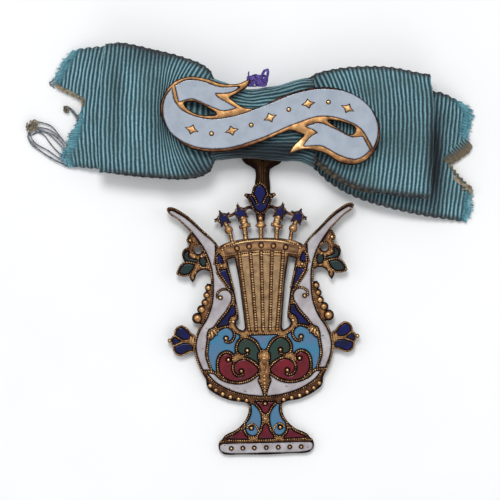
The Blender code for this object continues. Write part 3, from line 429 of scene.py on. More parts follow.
def flowing(outline, step=0.14 * MM, closed=True):
    """A smooth curve through an outline's points, with a point every step."""
    count = len(outline)
    slopes = []
    for i, point in enumerate(outline):
        if not closed and i in (0, count - 1):
            slopes.append(None)
            continue
        back, ahead = point - outline[i - 1], outline[(i + 1) % count] - point
        if back.angle(ahead, 0) > CORNER:
            slopes.append(None)
            continue
        slope = back / back.length * ahead.length + ahead / ahead.length * back.length
        slopes.append(slope / (back.length + ahead.length))
    curve = []
    for i in range(count if closed else count - 1):
        start, end = outline[i], outline[(i + 1) % count]
        chord = end - start
        straight = chord / chord.length
        leave, arrive = slopes[i] or straight, slopes[(i + 1) % count] or straight
        pieces = max(1, round(chord.length / step))
        for k in range(pieces):
            t = k / pieces
            place = start * (2 * t**3 - 3 * t**2 + 1) + end * (3 * t**2 - 2 * t**3)
            curve.append(place + (leave * (t**3 - 2 * t**2 + t) + arrive * (t**3 - t**2)) * chord.length)
    return curve if closed else curve + [outline[-1]]


def tree_of(points):
    tree = KDTree(len(points))
    for i, point in enumerate(points):
        tree.insert((*point[:2], 0), i)
    tree.balance()
    return tree


def moved(outline, distance, tree=None):
    """The outline moved to its left, without the points that fold over at corners."""
    tree = tree or tree_of(outline)
    path = []
    for i, point in enumerate(outline):
        back = (point - outline[i - 1]).normalized()
        ahead = (outline[(i + 1) % len(outline)] - point).normalized()
        normal = Vector((-back.y - ahead.y, back.x + ahead.x))
        place = point + normal * (2 / max(normal.length_squared, SHARPEST)) * distance
        clear = tree.find((*place, 0))[2] > STILL_CLEAR * abs(distance)
        if clear and (not path or (place - path[-1]).length > 0.01 * MM):
            path.append(place)
    return path


white_base = flowing(outlines("base_white", TO_LYRE, 1.14 * MM)[0])
print("A smooth outline of the white base:", len(white_base), "points")

# %% [markdown]
# ## A plate with rounded edges
#
# The rim of a stamped plate is never a knife edge. Here the outline is drawn several times,
# each time a little further in and a little higher, and the rings are joined by triangles.
# Blender's own Bevel would do the same on a simple block, but it tears on outlines with
# hundreds of points, spirals and holes. Each point remembers how near the rim it is.

# %% Rounded plates
def left_turning(outline):
    return outline if area_of(outline) > 0 else outline[::-1]


def triangles_inside(loops, rings):
    """Fills closed outlines, keeping the rings drawn inside them as edges."""
    points, faces, lefts = [], [], []
    for loop in loops:
        faces.append(list(range(len(points), len(points) + len(loop))))
        lefts.append(1 if area_of(loop) > 0 else -1)
        points.extend(left_turning(loop))
    edges = []
    for ring in rings:
        start = len(points)
        points.extend(ring)
        edges += [(start + k, start + (k + 1) % len(ring)) for k in range(len(ring))]
    corners, _, triangles, _, _, owners = delaunay_2d_cdt(points, edges, faces, 1, 1e-8)
    kept = [t for t, own in zip(triangles, owners) if sum(lefts[k] for k in set(own)) > 0]
    return corners, kept


def key_of(place):
    """A flat place rounded to a tenth of a micrometre, so that equal places are found again."""
    return round(place.x, 7), round(place.y, 7)


def rounded_plate(loops, shape, base):
    """A slab with rounded rims: its shape is (distance in, height) from the rim to the flat top."""
    tree = tree_of([point for loop in loops for point in loop])
    rings = [ring for inset, _ in shape[1:] for loop in loops
             if len(ring := moved(loop, inset, tree)) > 2]
    corners, triangles = triangles_inside(loops, rings)
    steps, heights = zip(*shape)
    depths = [tree.find((*corner, 0))[2] for corner in corners]
    points = [(*corner, float(np.interp(depth, steps, heights))) for corner, depth in zip(corners, depths)]
    rim = [1 - min(1, depth / steps[-1]) for depth in depths]
    under, floor = triangles_inside(loops, [])
    start = len(points)
    points += [(*corner, base) for corner in under]
    rim += [1.0] * len(under)
    faces = [tuple(t) for t in triangles] + [tuple(start + i for i in t[::-1]) for t in floor]
    below = {key_of(corner): start + i for i, corner in enumerate(under)}
    above = {key_of(corner): i for i, corner in enumerate(corners)}
    for loop in loops:
        keys = [key_of(place) for place in loop]
        for a, b in zip(keys, keys[1:] + keys[:1]):
            if a != b and a in below and b in below and a in above and b in above:
                faces.append((below[a], below[b], above[b], above[a]))
    return points, faces, rim


print("Rounded plates ready")

# %% [markdown]
# ## From points to a piece
#
# Whatever the goldsmith or the weaver made ends up here as one mesh. It gets smooth faces,
# sharp edges where the real thing has them, its finish, and the numbers that the finish
# reads.

# %% Meshes and pieces
def mesh_of(name, points, faces, sharp=50, **marks):
    """A mesh with smooth faces, sharp edges past an angle, and a number at each point."""
    mesh = bpy.data.meshes.new(name)
    mesh.from_pydata([tuple(p) for p in points], [], [tuple(int(i) for i in f) for f in faces])
    mesh.shade_smooth()
    mesh.set_sharp_from_angle(angle=math.radians(sharp))
    for mark, values in marks.items():
        kind = "FLOAT_VECTOR" if np.ndim(values) == 2 else "FLOAT"
        store = mesh.attributes.new(mark, kind, "POINT")
        store.data.foreach_set("vector" if kind == "FLOAT_VECTOR" else "value",
                               np.asarray(values, np.float32).ravel())
    return mesh


def new_piece(mesh, finish, slot, stands_for=(), place=None):
    """A piece of the badge: it rides on the badge, and may stand for CAD solids."""
    made = bpy.data.objects.new(mesh.name, mesh)
    bpy.context.scene.collection.objects.link(made)
    made.matrix_world = place or Matrix()
    mesh.materials.append(finish)
    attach(made, "root")
    if stands_for:
        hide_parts(*stands_for)
    return made


print("Mesh and piece helpers ready")

# %% [markdown]
# ## Cells as the photograph shows them
#
# The CAD keeps every cell clear of its walls by a safe margin, so a few come out smaller
# than on the real badge. Those are drawn again here on the right half of the lyre, in steps
# of its grid, and mirrored for the left half. Others are only pulled a little, swollen, or
# turned into the crown's five-pointed stars. The walls are cut from the same outlines.
# Drawing them in the CAD at full size would leave some with almost no wall between them.

# %% Redrawn cells
def on_lyre(u, v):
    """A place on the lyre's drawing, columns from its axis and rows from its foot."""
    return Vector((u * PIXEL, v * PIXEL))


def drawn(*places):
    return [on_lyre(u, v) for u, v in places]


REDRAWN = {
    "leaf_large": drawn((67.8, 192.1), (68.9, 189.3), (71, 186.5), (74.1, 183.9), (78.8, 183.6), (82.9, 185),
                        (80.5, 190), (77.1, 192.9), (72.7, 193.2)),
    "leaf_drop": drawn((55.6, 194.4), (56.6, 191.4), (59.6, 191.4), (61.5, 194.2), (61.6, 198.2), (59.2, 200),
                       (56.8, 199)),
    "leaf_frond": drawn((64, 195.1), (68.4, 195.7), (73.1, 196.5), (76.4, 197.9), (77.4, 201), (76, 204.2),
                        (73.2, 206), (73.2, 204), (73.9, 201.7), (72, 199.3), (68.5, 197.9), (64.1, 196.8)),
    "arm_blue_top": drawn((38.9, 194.2), (42.7, 193.6), (45.6, 194.1), (44.3, 199.5), (42.3, 202.3),
                          (39.7, 197.9)),
    "arm_blue_main": drawn((30, 166.4), (32.1, 167.9), (36.3, 173.6), (41, 180.2), (44.6, 186.3), (40.1, 186),
                           (35.7, 186.9), (34, 181.1), (31.6, 171.8)),
    "base_white": drawn((-40, 3.2), (-36, 2.8), (0, 2.6), (36, 2.8), (40, 3.2), (45, 4.8), (46.6, 7.5),
                        (46.2, 11), (44, 12.1), (40, 12.2), (0, 12.2), (-40, 12.2), (-44, 12.1), (-46.2, 11),
                        (-46.6, 7.5), (-45, 4.8)),
}
HORN_START = 203 * PIXEL
HORN = drawn((55, 206.9), (58.9, 213.7), (64.1, 221.1), (67.9, 226), (74.3, 232.1), (79.5, 236.3),
             (84.6, 240.2), (89, 243.9), (90.3, 245.6), (88.3, 246), (84.6, 243.9), (78.3, 240.1),
             (70.6, 234), (64.2, 227.9), (57.2, 221.2), (50.8, 215.8), (46.2, 210.6))
# where the outline is pulled, how far round that place, and how far across and up
PULLS = ((8.8, 74, 14, -2.7, 0), (4, 60, 5, -1.4, 0), (9, 86, 5, -1.4, 0), (9, 92, 4, -1, 0))
SWOLLEN = {"ear_": 0.14 * MM, "scroll": 0.2 * MM}
WHITE_SPREAD, HORN_SPREAD = 0.1 * MM, 0.09 * MM
print(len(REDRAWN), "kinds of cell drawn again")

# %% [markdown]
# ## Stars, pulls and mirror images
#
# The crown carries small stars of enamel, each in a star of metal with a ball on every tip.
# A goldsmith lays such a pendant out from its middle line with dividers, so its halves are
# nearly mirror images. Each left cell is therefore the mirror image of its right twin.

# %% Stars, pulls and mirror images
STAR_POINTS, STAR_TURN = 5, math.radians(66)
# how far a star reaches out and how wide its waist is, in steps of the grid
STAR_GLASS, STAR_METAL, STAR_TIPS = (6.8, 3.5), (8.8, 5.0), (8.0, 5.0)


def star(centre, reach, waist):
    """A star's outline: its points reach out and its notches lie at the waist, in steps of the grid.

    Each side has a middle point, so that a curve through them all keeps it nearly straight.
    """
    first = STAR_TURN if centre.x > 0 else math.pi - STAR_TURN
    turns = [first + math.pi * k / STAR_POINTS for k in range(2 * STAR_POINTS)]
    ends = [centre + PIXEL * (waist if k % 2 else reach) * Vector((math.cos(a), math.sin(a)))
            for k, a in enumerate(turns)]
    return [p for a, b in zip(ends, ends[1:] + ends[:1]) for p in (a, (a + b) / 2)]


def centre_of(outline):
    return sum(outline, Vector((0, 0))) / len(outline)


def pulled(point):
    """A point drawn towards where the photograph has it."""
    for u, v, reach, across, up in PULLS:
        share = max(0.0, 1 - ((point - on_lyre(u, v)).length / (reach * PIXEL)) ** 2) ** 2
        point = point + share * on_lyre(across, up)
    return point


def right_cell(kind, outline):
    """The outline of a cell on the right half, as the photograph shows it."""
    if kind in REDRAWN:
        return REDRAWN[kind]
    if kind.startswith("star"):
        return star(centre_of(outline), *STAR_GLASS)
    if kind == "arm_white":
        first = next(i for i, p in enumerate(outline) if p.y > HORN_START >= outline[i - 1].y)
        horn = moved(flowing(HORN, closed=False), -HORN_SPREAD)[2:-2]
        arm = [p for p in outline[first:] + outline[:first] if p.y <= HORN_START]
        return moved(flowing(horn + arm), -WHITE_SPREAD)
    return [pulled(point) for point in outline]


def mirrored(outline):
    return [Vector((-p.x, p.y)) for p in outline[::-1]]


def reshaped(solid, outline):
    """A cell's outline as the photograph shows it, for either half."""
    kind = solid.replace("_left", "").replace("_right", "")
    for start, amount in SWOLLEN.items():
        if solid.startswith(start):
            return moved(flowing(outline), -amount)
    if solid.endswith("_left"):
        return mirrored(right_cell(kind, mirrored(outline)))
    return right_cell(kind, outline)


print("The stars' glass reaches", round(STAR_GLASS[0] * PIXEL / MM, 2), "mm from its middle")

# %% [markdown]
# ## The enamels of the lyre
#
# Each cell of the lyre is filled with melted glass that creeps up its walls a little and
# stays low in the middle. Its outline is read from the CAD enamel, drawn smooth, and rounded
# by a few hundredths of a millimetre. The colour is the one in the badge's record.

# %% Lyre enamels
SLOTS = {part["node"]: part["material_slot"] for part in frame["record"]["subparts"]}
ENAMEL_ROUND = ((0, -0.11), (0.05, -0.03), (0.12, 0.0), (0.27, -0.012))
STAR_RISE = 0.1 * MM


def profile(top, steps):
    """Steps of (distance in, height below the top), in millimetres, as places in metres."""
    return tuple((inset * MM, top + drop * MM) for inset, drop in steps)


def lay_enamel(solid, to_flat, place, base):
    """Melts one enamel into its cell."""
    top = flat_heights(solid, to_flat, 0.05 * MM * MM)[-1]
    loops = sorted(outlines(solid, to_flat, top), key=area_of, reverse=True)
    loops = [flowing(loop) for loop in [reshaped(solid, loops[0])] + loops[1:]]
    if solid.startswith("star"):
        top = WALL_TOP + STAR_RISE
    points, faces, rim = rounded_plate(loops, profile(top, ENAMEL_ROUND), base)
    mesh = mesh_of("glass_" + solid, points, faces, rim=rim)
    glass = ENAMELS["leaf" if solid.startswith("leaf") else SLOTS[solid]]
    new_piece(mesh, glass, SLOTS[solid], (solid,), place)
    return loops


NOT_LYRE_GLASS = ("gilt", "bronze", "ribbon", "scroll_white")
CELLS = {solid: lay_enamel(solid, TO_LYRE, LYRE, PLATE_FLOOR)
         for solid, slot in SLOTS.items() if slot not in NOT_LYRE_GLASS}
print(len(CELLS), "enamels on the lyre")

# %% [markdown]
# ## The lyre's plate and walls
#
# The goldsmith saws the lyre's silhouette out of sheet, pierces its openings, and solders
# walls on it. The plate is rounded at its rim. The walls are what is left of the silhouette
# once the cells' floors are cut out of it, and they get rounder tops than the plate has.
# Soot is deep at the foot of a wall and thin on its top.

# %% Lyre plate and walls
def metal_plate(name, loops, top, steps, base, soot_rim, soot_top, stands_for=(), shade=lambda point: 0,
                place=LYRE, finish=GILT, slot="gilt"):
    """A rounded metal slab, sooty at its rim and cleaner on top."""
    points, faces, rim = rounded_plate(loops, profile(top, steps), base)
    soot = [soot_top + (soot_rim - soot_top) * r + shade(p) for p, r in zip(points, rim)]
    new_piece(mesh_of(name, points, faces, soot=soot), finish, slot, stands_for, place)


# places on the lyre: columns from its axis, rows from its foot, and how much darker the metal is made there
FAR = 999
# the band of metal below the bowl's crescent is made darker
BOWL_EDGE, BOWL_FOOT, BOWL_DARKENING = ((0, 21.5, 41, 54, 60), (59, 61.2, 67.9, 76.3, 82)), 50, 0.26
METAL_TONES = {
    "horns": ((44, FAR), (205, FAR), 0.1), "palmette": ((-1, 13), (234, FAR), 0.2),
    "links beside the palmette": ((-1, 50), (234, FAR), -0.3), "crown": ((-1, 38), (211, FAR), -0.3),
    "under the side balls": ((50, 66), (130, 178), 0.14), "stalk": ((-1, 7), (60, 97), 0.12),
    "base": ((-1, FAR), (-FAR, 13), 0.3), "ears": ((66, FAR), (-FAR, 130), -0.1),
}


def metal_tone_by_place(point):
    """How much darker the lyre's metal is made by place, above what a wall has anyway."""
    u, v = abs(point[0]) / PIXEL, point[1] / PIXEL
    if u < BOWL_EDGE[0][-1] and BOWL_FOOT < v < np.interp(u, *BOWL_EDGE):
        return BOWL_DARKENING
    return next((soot for (left, right), (low, high), soot in METAL_TONES.values()
                 if left < u < right and low < v < high), 0.0)


silhouette = [flowing(loop)[::-1] for loop in outlines("lyre_frame", TO_LYRE, 0, up=False)]
floors = [loops[0][::-1] for solid, loops in CELLS.items() if not solid.startswith("star")]
star_middles = [centre_of(loops[0]) for solid, loops in CELLS.items() if solid.startswith("star")]
stars = [flowing(star(centre, *STAR_METAL)) for centre in star_middles]
metal_plate("lyre_plate", silhouette, PLATE_FLOOR, ((0, -0.2), (0.08, -0.04), (0.2, 0)), 0, 0.5, 0.75,
            ("lyre_frame",))
WALL_ROUND = ((0, -0.2), (0.05, -0.1), (0.12, -0.03), (0.21, 0), (0.34, 0), (0.6, 0.02))
metal_plate("lyre_walls", silhouette + floors, WALL_TOP, WALL_ROUND, PLATE_FLOOR, 0.86, 0.2, shade=metal_tone_by_place)
metal_plate("crown_stars", stars, WALL_TOP + 0.04 * MM, ((0, -0.2), (0.08, -0.06), (0.2, 0)), 0, 0.9, 0.62)
print(len(silhouette), "outlines of the silhouette,", len(floors), "cell floors,", len(stars), "stars")

# %% [markdown]
# ## Balls, beads and lumps
#
# Granulation is made of hundreds of small balls of gold, soldered on in rows. A ball needs
# few faces at this size, so one small ball is drawn once and copied by arithmetic into one
# mesh, which is far lighter than hundreds of objects. Every copy is darker at its foot, from
# patina and from painted shade, and lighter towards its top, a painted highlight.

# %% Balls and lumps
def ball_pattern(sides, rows, lowest=-60):
    """A ball of radius 1 from a low ring to its top."""
    points, faces = [], []
    for k in range(rows):
        lift = math.radians(lowest + (90 - lowest) * k / rows)
        for s in range(sides):
            turn = 2 * math.pi * (s + 0.5 * (k % 2)) / sides
            points.append((math.cos(lift) * math.cos(turn), math.cos(lift) * math.sin(turn), math.sin(lift)))
    points.append((0, 0, 1))
    for k in range(rows - 1):
        for s in range(sides):
            a, b = k * sides + s, k * sides + (s + 1) % sides
            faces += [(a, b, b + sides), (a, b + sides, a + sides)]
    last = (rows - 1) * sides
    faces += [(last + s, last + (s + 1) % sides, len(points) - 1) for s in range(sides)]
    faces.append(tuple(range(sides))[::-1])
    return np.array(points), faces


def lumps(name, pattern, sites, finish=GILT_WIRE, slot="gilt", place=LYRE, soot_foot=0.9, soot_top=0.0):
    """Copies of a ball: each site is a place, (length, width, height), a turn and extra soot."""
    shape, faces = pattern
    points, all_faces, soot = [], [], []
    for where, size, turn, extra in sites:
        c, s = math.cos(turn), math.sin(turn)
        scaled = shape * np.array(size)
        x, y = scaled[:, 0] * c - scaled[:, 1] * s, scaled[:, 0] * s + scaled[:, 1] * c
        start = len(points)
        points.extend(zip(where[0] + x, where[1] + y, where[2] + scaled[:, 2]))
        all_faces.extend(tuple(start + i for i in face) for face in faces)
        # painted shade low on each copy's sides and a painted highlight on its top, over the patina at its
        # foot
        lift = np.clip(shape[:, 2] * 1.1 - 0.02, 0, 1) ** 1.7
        soot.extend(np.clip(soot_foot + (soot_top - soot_foot) * lift + extra, 0, 1))
    new_piece(mesh_of(name, points, all_faces, 80, soot=soot), finish, slot, (), place)


def ball(where, radius, extra, top):
    """A site for a round ball whose top is at a height."""
    return ((where[0], where[1], top - radius), (radius,) * 3, 0, extra)


def ball_looks(place):
    """How much a ball is enlarged and its extra soot, by where it sits on the lyre."""
    u, v = abs(place.x) / PIXEL, place.y / PIXEL
    if 50 < v < 80 and u > 15:
        return BALL_LOOKS["rim of the bowl"]
    if 128 < v < 180 and u > 48:
        return BALL_LOOKS["arms' outer sides"]
    return BALL_LOOKS["yoke" if 196 < v < 216 and u < 30 else "elsewhere"]


STUD_TAPER = 0.6
# how much a ball is enlarged, and its extra soot
BALL_LOOKS = {"rim of the bowl": (1.2, 0.02), "arms' outer sides": (1.16, 0.12), "yoke": (1, 0.13),
              "elsewhere": (1, 0.02)}
BALL = ball_pattern(14, 7)
studs, ball_sites = [], []
for loop in outlines("lyre_frame", TO_LYRE, BALL_TOP):
    centre = centre_of(loop)
    growth, soot = ball_looks(centre)
    radius = sum((p - centre).length for p in loop) / len(loop) / STUD_TAPER * growth
    studs.append((centre, radius))
    ball_sites.append(ball(centre, radius, soot, max(BALL_TOP, PLATE_FLOOR + radius)))
tips = [tip for centre in star_middles for tip in star(centre, *STAR_TIPS)[::4]]
lumps("lyre_balls", BALL, ball_sites)
lumps("star_tips", BALL, [ball(tip, 0.21 * MM, 0.4, WALL_TOP + 0.06 * MM) for tip in tips])
print(len(studs), "balls, radius", round(min(r for _, r in studs) / MM, 2), "to",
      round(max(r for _, r in studs) / MM, 2), "mm")

# %% [markdown]
# ## Bead wire round the cells
#
# Each cell of the real lyre is edged with bead wire: round wire rolled between grooved
# dies, so that it looks like a string of tiny balls. The wire's line is the enamel's outline
# moved out to the middle of the wall. Where two cells share a wall, the second wire would
# fall on the first, so a bead is left out where one lies already. The horns have their own
# row along the rim, and the ears' petals a plain wire, drawn as beads that run together.

# %% Bead wire
WALL_MIDDLE, CURL_MIDDLE, SHORT_OF_CURL, HORN_WALL = 0.36 * MM, 0.3 * MM, 0.22 * MM, 0.36 * MM
BEAD_STEP, BREAK = 0.44 * MM, 0.5 * MM
HORN_COLUMN, HORN_ROW = 41 * PIXEL, 206 * PIXEL
taken = {}
wear = np.random.default_rng(3)


def free_spot(place, gap):
    """Whether no bead lies within a gap, marking the place as taken if so."""
    column, row = math.floor(place.x / BEAD_STEP), math.floor(place.y / BEAD_STEP)
    near = [p for i in (-1, 0, 1) for j in (-1, 0, 1) for p in taken.get((column + i, row + j), [])]
    if any((p - place).length < gap for p in near):
        return False
    taken.setdefault((column, row), []).append(place)
    return True


def lengths_to(path):
    """How far along a path each of its points lies."""
    return np.cumsum([0] + [(b - a).length for a, b in zip(path, path[1:])])


def spaced(path, step, closed=True):
    """Points at even steps along a path."""
    run = list(path) + ([path[0]] if closed else [])
    ends = lengths_to(run)
    count = max(2, round(ends[-1] / step))
    at = np.linspace(0, ends[-1], count + (0 if closed else 1), endpoint=not closed)
    xs, ys = (np.interp(at, ends, [p[axis] for p in run]) for axis in (0, 1))
    return [Vector(pair) for pair in zip(xs, ys)]


def unbroken(path):
    """A closed path, or its runs where points that fold over have left gaps in it."""
    breaks = [i for i in range(len(path)) if (path[i] - path[i - 1]).length > BREAK]
    if not breaks:
        return [(path, True)]
    edges = breaks + [breaks[0] + len(path)]
    runs = [[path[i % len(path)] for i in range(a, b)] for a, b in zip(edges, edges[1:])]
    return [(run, False) for run in runs if len(run) > 2]


def headings(run):
    """Each place of a run, with the angle at which the run passes it."""
    for i, place in enumerate(run):
        ahead = run[min(i + 1, len(run) - 1)] - run[max(i - 1, 0)]
        yield place, math.atan2(ahead.y, ahead.x)


def bead_sites(path, radius, step, closed=False, sink=0.08, extra=0.0, stretch=1.0):
    """Sites for beads along a path, sizes in millimetres, clear of the balls and of beads already there."""
    sites = []
    for place, turn in headings(spaced(path, step * MM, closed)):
        darkness = wear.uniform(-0.08, 0.22)
        if any((place - c).length < r * 0.9 for c, r in studs) or not free_spot(place, 0.72 * step * MM):
            continue
        size = (radius * stretch * MM, radius * MM, radius * MM)
        soot = extra + darkness + 0.5 * max(0.0, metal_tone_by_place(place))
        sites.append(((place.x, place.y, WALL_TOP - sink * MM), size, turn, soot))
    return sites


def in_horn(place):
    return place[1] > HORN_ROW and abs(place[0]) > HORN_COLUMN


BEADED = ("arm_", "crescent", "sky", "green", "red", "foot", "palmette", "leaf_large", "leaf_drop")
beads = []
for loop in silhouette:
    for run, _ in unbroken([p for p in moved(loop, HORN_WALL / 2) if in_horn(p)]):
        beads += bead_sites(run, 0.2, 0.42, sink=0.02, extra=-0.05) if run else []
for distance in (WALL_MIDDLE, CURL_MIDDLE, SHORT_OF_CURL):
    for solid, loops in CELLS.items():
        for run, closed in unbroken(moved(loops[0], -distance)) if solid.startswith(BEADED) else ():
            beads += [site for site in bead_sites(run, 0.235, 0.44, closed) if not in_horn(site[0])]
for solid, loops in CELLS.items():
    if solid.startswith("ear"):
        beads += bead_sites(moved(loops[0], -CURL_MIDDLE), 0.15, 0.2, True, extra=0.02, stretch=1.3)
BEAD = ball_pattern(8, 4, -35)
lumps("bead_wire", BEAD, beads)
print(len(beads), "beads round the cells")

# %% [markdown]
# ## The strings and the yoke
#
# Behind the strings lies a matte gold panel, and each string is a cord of bead wire. The
# panel's bays are read from the CAD as the floors that lie between the cords. The cords run
# from a bead row at the bottom to the yoke, the bar with five bosses that joins the horns.

# %% Strings and yoke
def flat_lump(where, height, size, turn=0, extra=0):
    """A site for a flattened lump, its size in millimetres."""
    return (where[0], where[1], height), tuple(side * MM for side in size), turn, extra


bays = [flowing(loop) for loop in outlines("lyre_frame", TO_LYRE, PLATE_FLOOR)]
bays = [loop for loop in bays if all(abs(p.x) < 26 * PIXEL and 120 * PIXEL < p.y < 206 * PIXEL for p in loop)]
corners = [place for loop in bays for place in loop]
panel = [corners[i] for i in convex_hull_2d(corners)]
YOKE = ((0, 215.2), (-20, 213.6), (-32, 210.6), (-38.5, 207.6), (-37, 200.5), (-20, 203.2), (0, 204.4),
        (20, 203.2), (37, 200.5), (38.5, 207.6), (32, 210.6), (20, 213.6))
metal_plate("strings_panel", [flowing(panel)], WALL_TOP + 0.03 * MM, ((0, -0.05), (0.1, 0), (0.4, 0.01)),
            PLATE_FLOOR, 0.5, 0.12, finish=GILT_MATTE)
metal_plate("yoke_face", [flowing(drawn(*YOKE))], WALL_TOP + 0.08 * MM,
            ((0, -0.12), (0.12, -0.03), (0.4, 0), (0.9, 0.02)), PLATE_FLOOR, 0.4, 0.12, finish=GILT_YOKE)
STRINGS = ((-14, -22), (-6.9, -10.8), (0, 0), (6.9, 10.8), (14, 22))  # foot and head, in steps off the axis
ROWS = (  # the places of a row, the beads' radius and step, how deep they sit, their extra soot
    (drawn((-16, 124.6), (16, 124.6)), 0.2, 0.42, 0.02, 0.1),
    (drawn((-45, 14.6), (45, 14.6)), 0.24, 0.42, 0.02, 0.1),
    (drawn((-38, 199.4), (-20, 202.2), (0, 203.4), (20, 202.2), (38, 199.4)), 0.22, 0.42, 0.06, 0.34),
    (drawn((-37, 209.4), (-20, 215), (0, 216.6), (20, 215), (37, 209.4)), 0.22, 0.42, 0.06, 0.34),
)
cords = [site for low, high in STRINGS
         for site in bead_sites(drawn((low, 126.5), (high, 202.5)), 0.34, 0.5, False, 0.0, -0.14, 0.84)]
for row, radius, step, sink, extra in ROWS:
    row = row if len(row) == 2 else flowing(row, closed=False)
    cords += bead_sites(row, radius, step, False, sink, extra)
lumps("string_cords", BEAD, cords)
beds = []
for low, high in STRINGS:
    foot, head = drawn((low - 0.4, 126), (high - 0.4, 203))
    turn = math.atan2(head.y - foot.y, head.x - foot.x)
    beds += [flat_lump(p, WALL_TOP, (0.6, 0.46, 0.14), turn, 0.24)
             for p in spaced((foot, head), 0.6 * MM, False)]
lumps("string_beds", BEAD, beds, GILT, soot_foot=0.6)
BOSSES = ((0, 210.4), (12.2, 209.6), (-12.2, 209.6), (24.4, 207.8), (-24.4, 207.8))
rings = [flat_lump(on_lyre(u, v), WALL_TOP + 0.06 * MM, (0.66, 0.66, 0.13), 0, 0.12) for u, v in BOSSES]
lumps("yoke_rings", BALL, rings)
print(len(bays), "bays,", len(cords), "beads in the strings and the yoke")

# %% [markdown]
# ## Turned knops, the stalk and the clasps
#
# The crown's finials were turned on a lathe: rods with discs, cups and knops. Seen from
# above, each knop is a lump across its rod, so they are drawn as stretched balls. The same
# lumps make the twisted stalk in the bowl, the folded clasps beside it and the ears' hinges.

# %% Knops, stalk and clasps
def both_sides(sites):
    """Sites on the right, and their mirror images on the left."""
    left = [((-p[0], p[1], p[2]), size, math.pi - turn, extra) for p, size, turn, extra in sites]
    return sites + left


def lump(u, v, length, width, degrees=0.0, height=0.42, extra=0.0, top=1.34):
    """A stretched ball on the lyre: sizes in steps of the drawing, heights in millimetres."""
    place, size = on_lyre(u, v), (length * PIXEL / 2, width * PIXEL / 2, height * MM)
    return (place.x, place.y, (top - height) * MM), size, math.radians(degrees), extra


MIDDLE_LUMPS = (
    # crown's middle finial, from the yoke up
    (0, 218.5, 3.6, 5.6), (0, 222.5, 3.4, 4.4), (0, 226.5, 3.4, 5.0), (0, 229.9, 11.8, 3.2, 0, 0.5),
    (0, 233, 7.2, 3.0), (0, 237, 5.6, 6.2, 0, 0.36),
    # stalk in the bowl, from its collar down
    (0, 100.2, 9.6, 3.0, 0, 0.5, -0.05), (0, 97.2, 9.6, 2.6, 0, 0.5), (-3.4, 92, 2.2, 9.0, -12),
    (3.4, 92, 2.2, 9.0, 12), (0, 88, 2.6, 9.0, 0, 0.34, 0.1), (-1.7, 83, 2.2, 7.0, 14),
    (1.7, 83, 2.2, 7.0, -14), (0, 79, 4.6, 4.4, 30), (0, 75.5, 5.2, 4.0, -30), (0, 72, 5.4, 4.0, 25),
    (0, 68.6, 4.6, 4.4, -15),
    (0, 64.6, 2.8, 5.6),
    # collar of the foot
    (0, 36.4, 9.0, 4.6, 0, 0.5),
)
SIDE_LUMPS = (
    # inner and outer finials
    (15.4, 217.8, 4.8, 4.8, 5), (16, 222.4, 4.4, 4.6, 5), (16.3, 226.6, 5.6, 3.4),
    (16, 229.8, 11.8, 3.6, -12, 0.5), (16.6, 233.4, 8.2, 3.8, -10), (18, 238, 5.6, 5.6),
    (29.4, 216.6, 3.8, 5.2, 10), (30.4, 221.6, 3.6, 4.6, 10),
    (32.3, 226.4, 8.6, 6.8, -30, 0.5), (34.4, 231.6, 5.0, 4.8, 20),
    # yoke's ends and the folded clasps
    (39, 207, 4.4, 3.6, -20, 0.5, -0.1, 1.5), (36.4, 210.4, 4.4, 3.4, -20, 0.5, -0.1, 1.5),
    (48.4, 124.6, 3.0, 9.6, -32, 0.5, -0.12, 1.55), (51.4, 122.6, 3.0, 10.4, -8, 0.5, -0.12, 1.6),
    (54, 120.8, 2.6, 8.0, 14, 0.45, -0.05, 1.5), (4.8, 74.6, 5.6, 1.7, 38, 0.4),
    # sprays
    (60.1, 200.7, 5.4, 3.4, 20, 0.4), (63.6, 198.9, 4.0, 3.0, 0, 0.4), (67.3, 200.2, 5.8, 3.8, -10, 0.45),
    (70.4, 202.8, 4.0, 4.0, 30, 0.4), (58.3, 189.2, 4.6, 2.2, 5), (63.2, 187.9, 4.2, 2.2, -20),
    (66.6, 184.2, 2.6, 4.2, 20), (69, 179.4, 2.2, 4.6, 5), (67.6, 216.4, 4.2, 4.6, 30, 0.36, 0.1),
    # ears' hinges
    (72.6, 116.6, 5.0, 13.0, 0, 0.34, 0.05, 1.3), (70.6, 116, 3.2, 15.0, 4, 0.4, 0.0, 1.4),
)
knops = [lump(*row) for row in MIDDLE_LUMPS] + both_sides([lump(*row) for row in SIDE_LUMPS])
lumps("lyre_knops", BALL, knops, soot_foot=0.95, soot_top=0.1)
SPRAY_WIRES = (((56.6, 206.9), (54.6, 201.3), (52.2, 193.8), (51.2, 190.1)),
               ((63.9, 213.6), (66.2, 219.4), (71, 220.6), (74.3, 217), (72.3, 212.9), (69.6, 214.6)),
               ((60, 208.6), (62.6, 211.6), (66.6, 211.4), (68.9, 208.4), (68.6, 204.6)),
               ((7.6, 25), (9.4, 29), (13, 31.8), (16.8, 31), (18.4, 28.4)))
wires = [site for wire in SPRAY_WIRES
         for site in bead_sites(flowing(drawn(*wire), closed=False), 0.25, 0.4, False, 0.04, 0.06, 1.3)]
lumps("spray_wires", BEAD, both_sides(wires))
print(len(knops), "lumps on the lyre")

# %% [markdown]
# ## The scroll
#
# The scroll is a small enamelled label on the knot, in the shape of an S with two turned
# ends. Its frame is a plain gilt plate with a broad rounded rim, bright on top and brown on
# its flank, with two openings where the scroll turns over. It gets three white enamels.

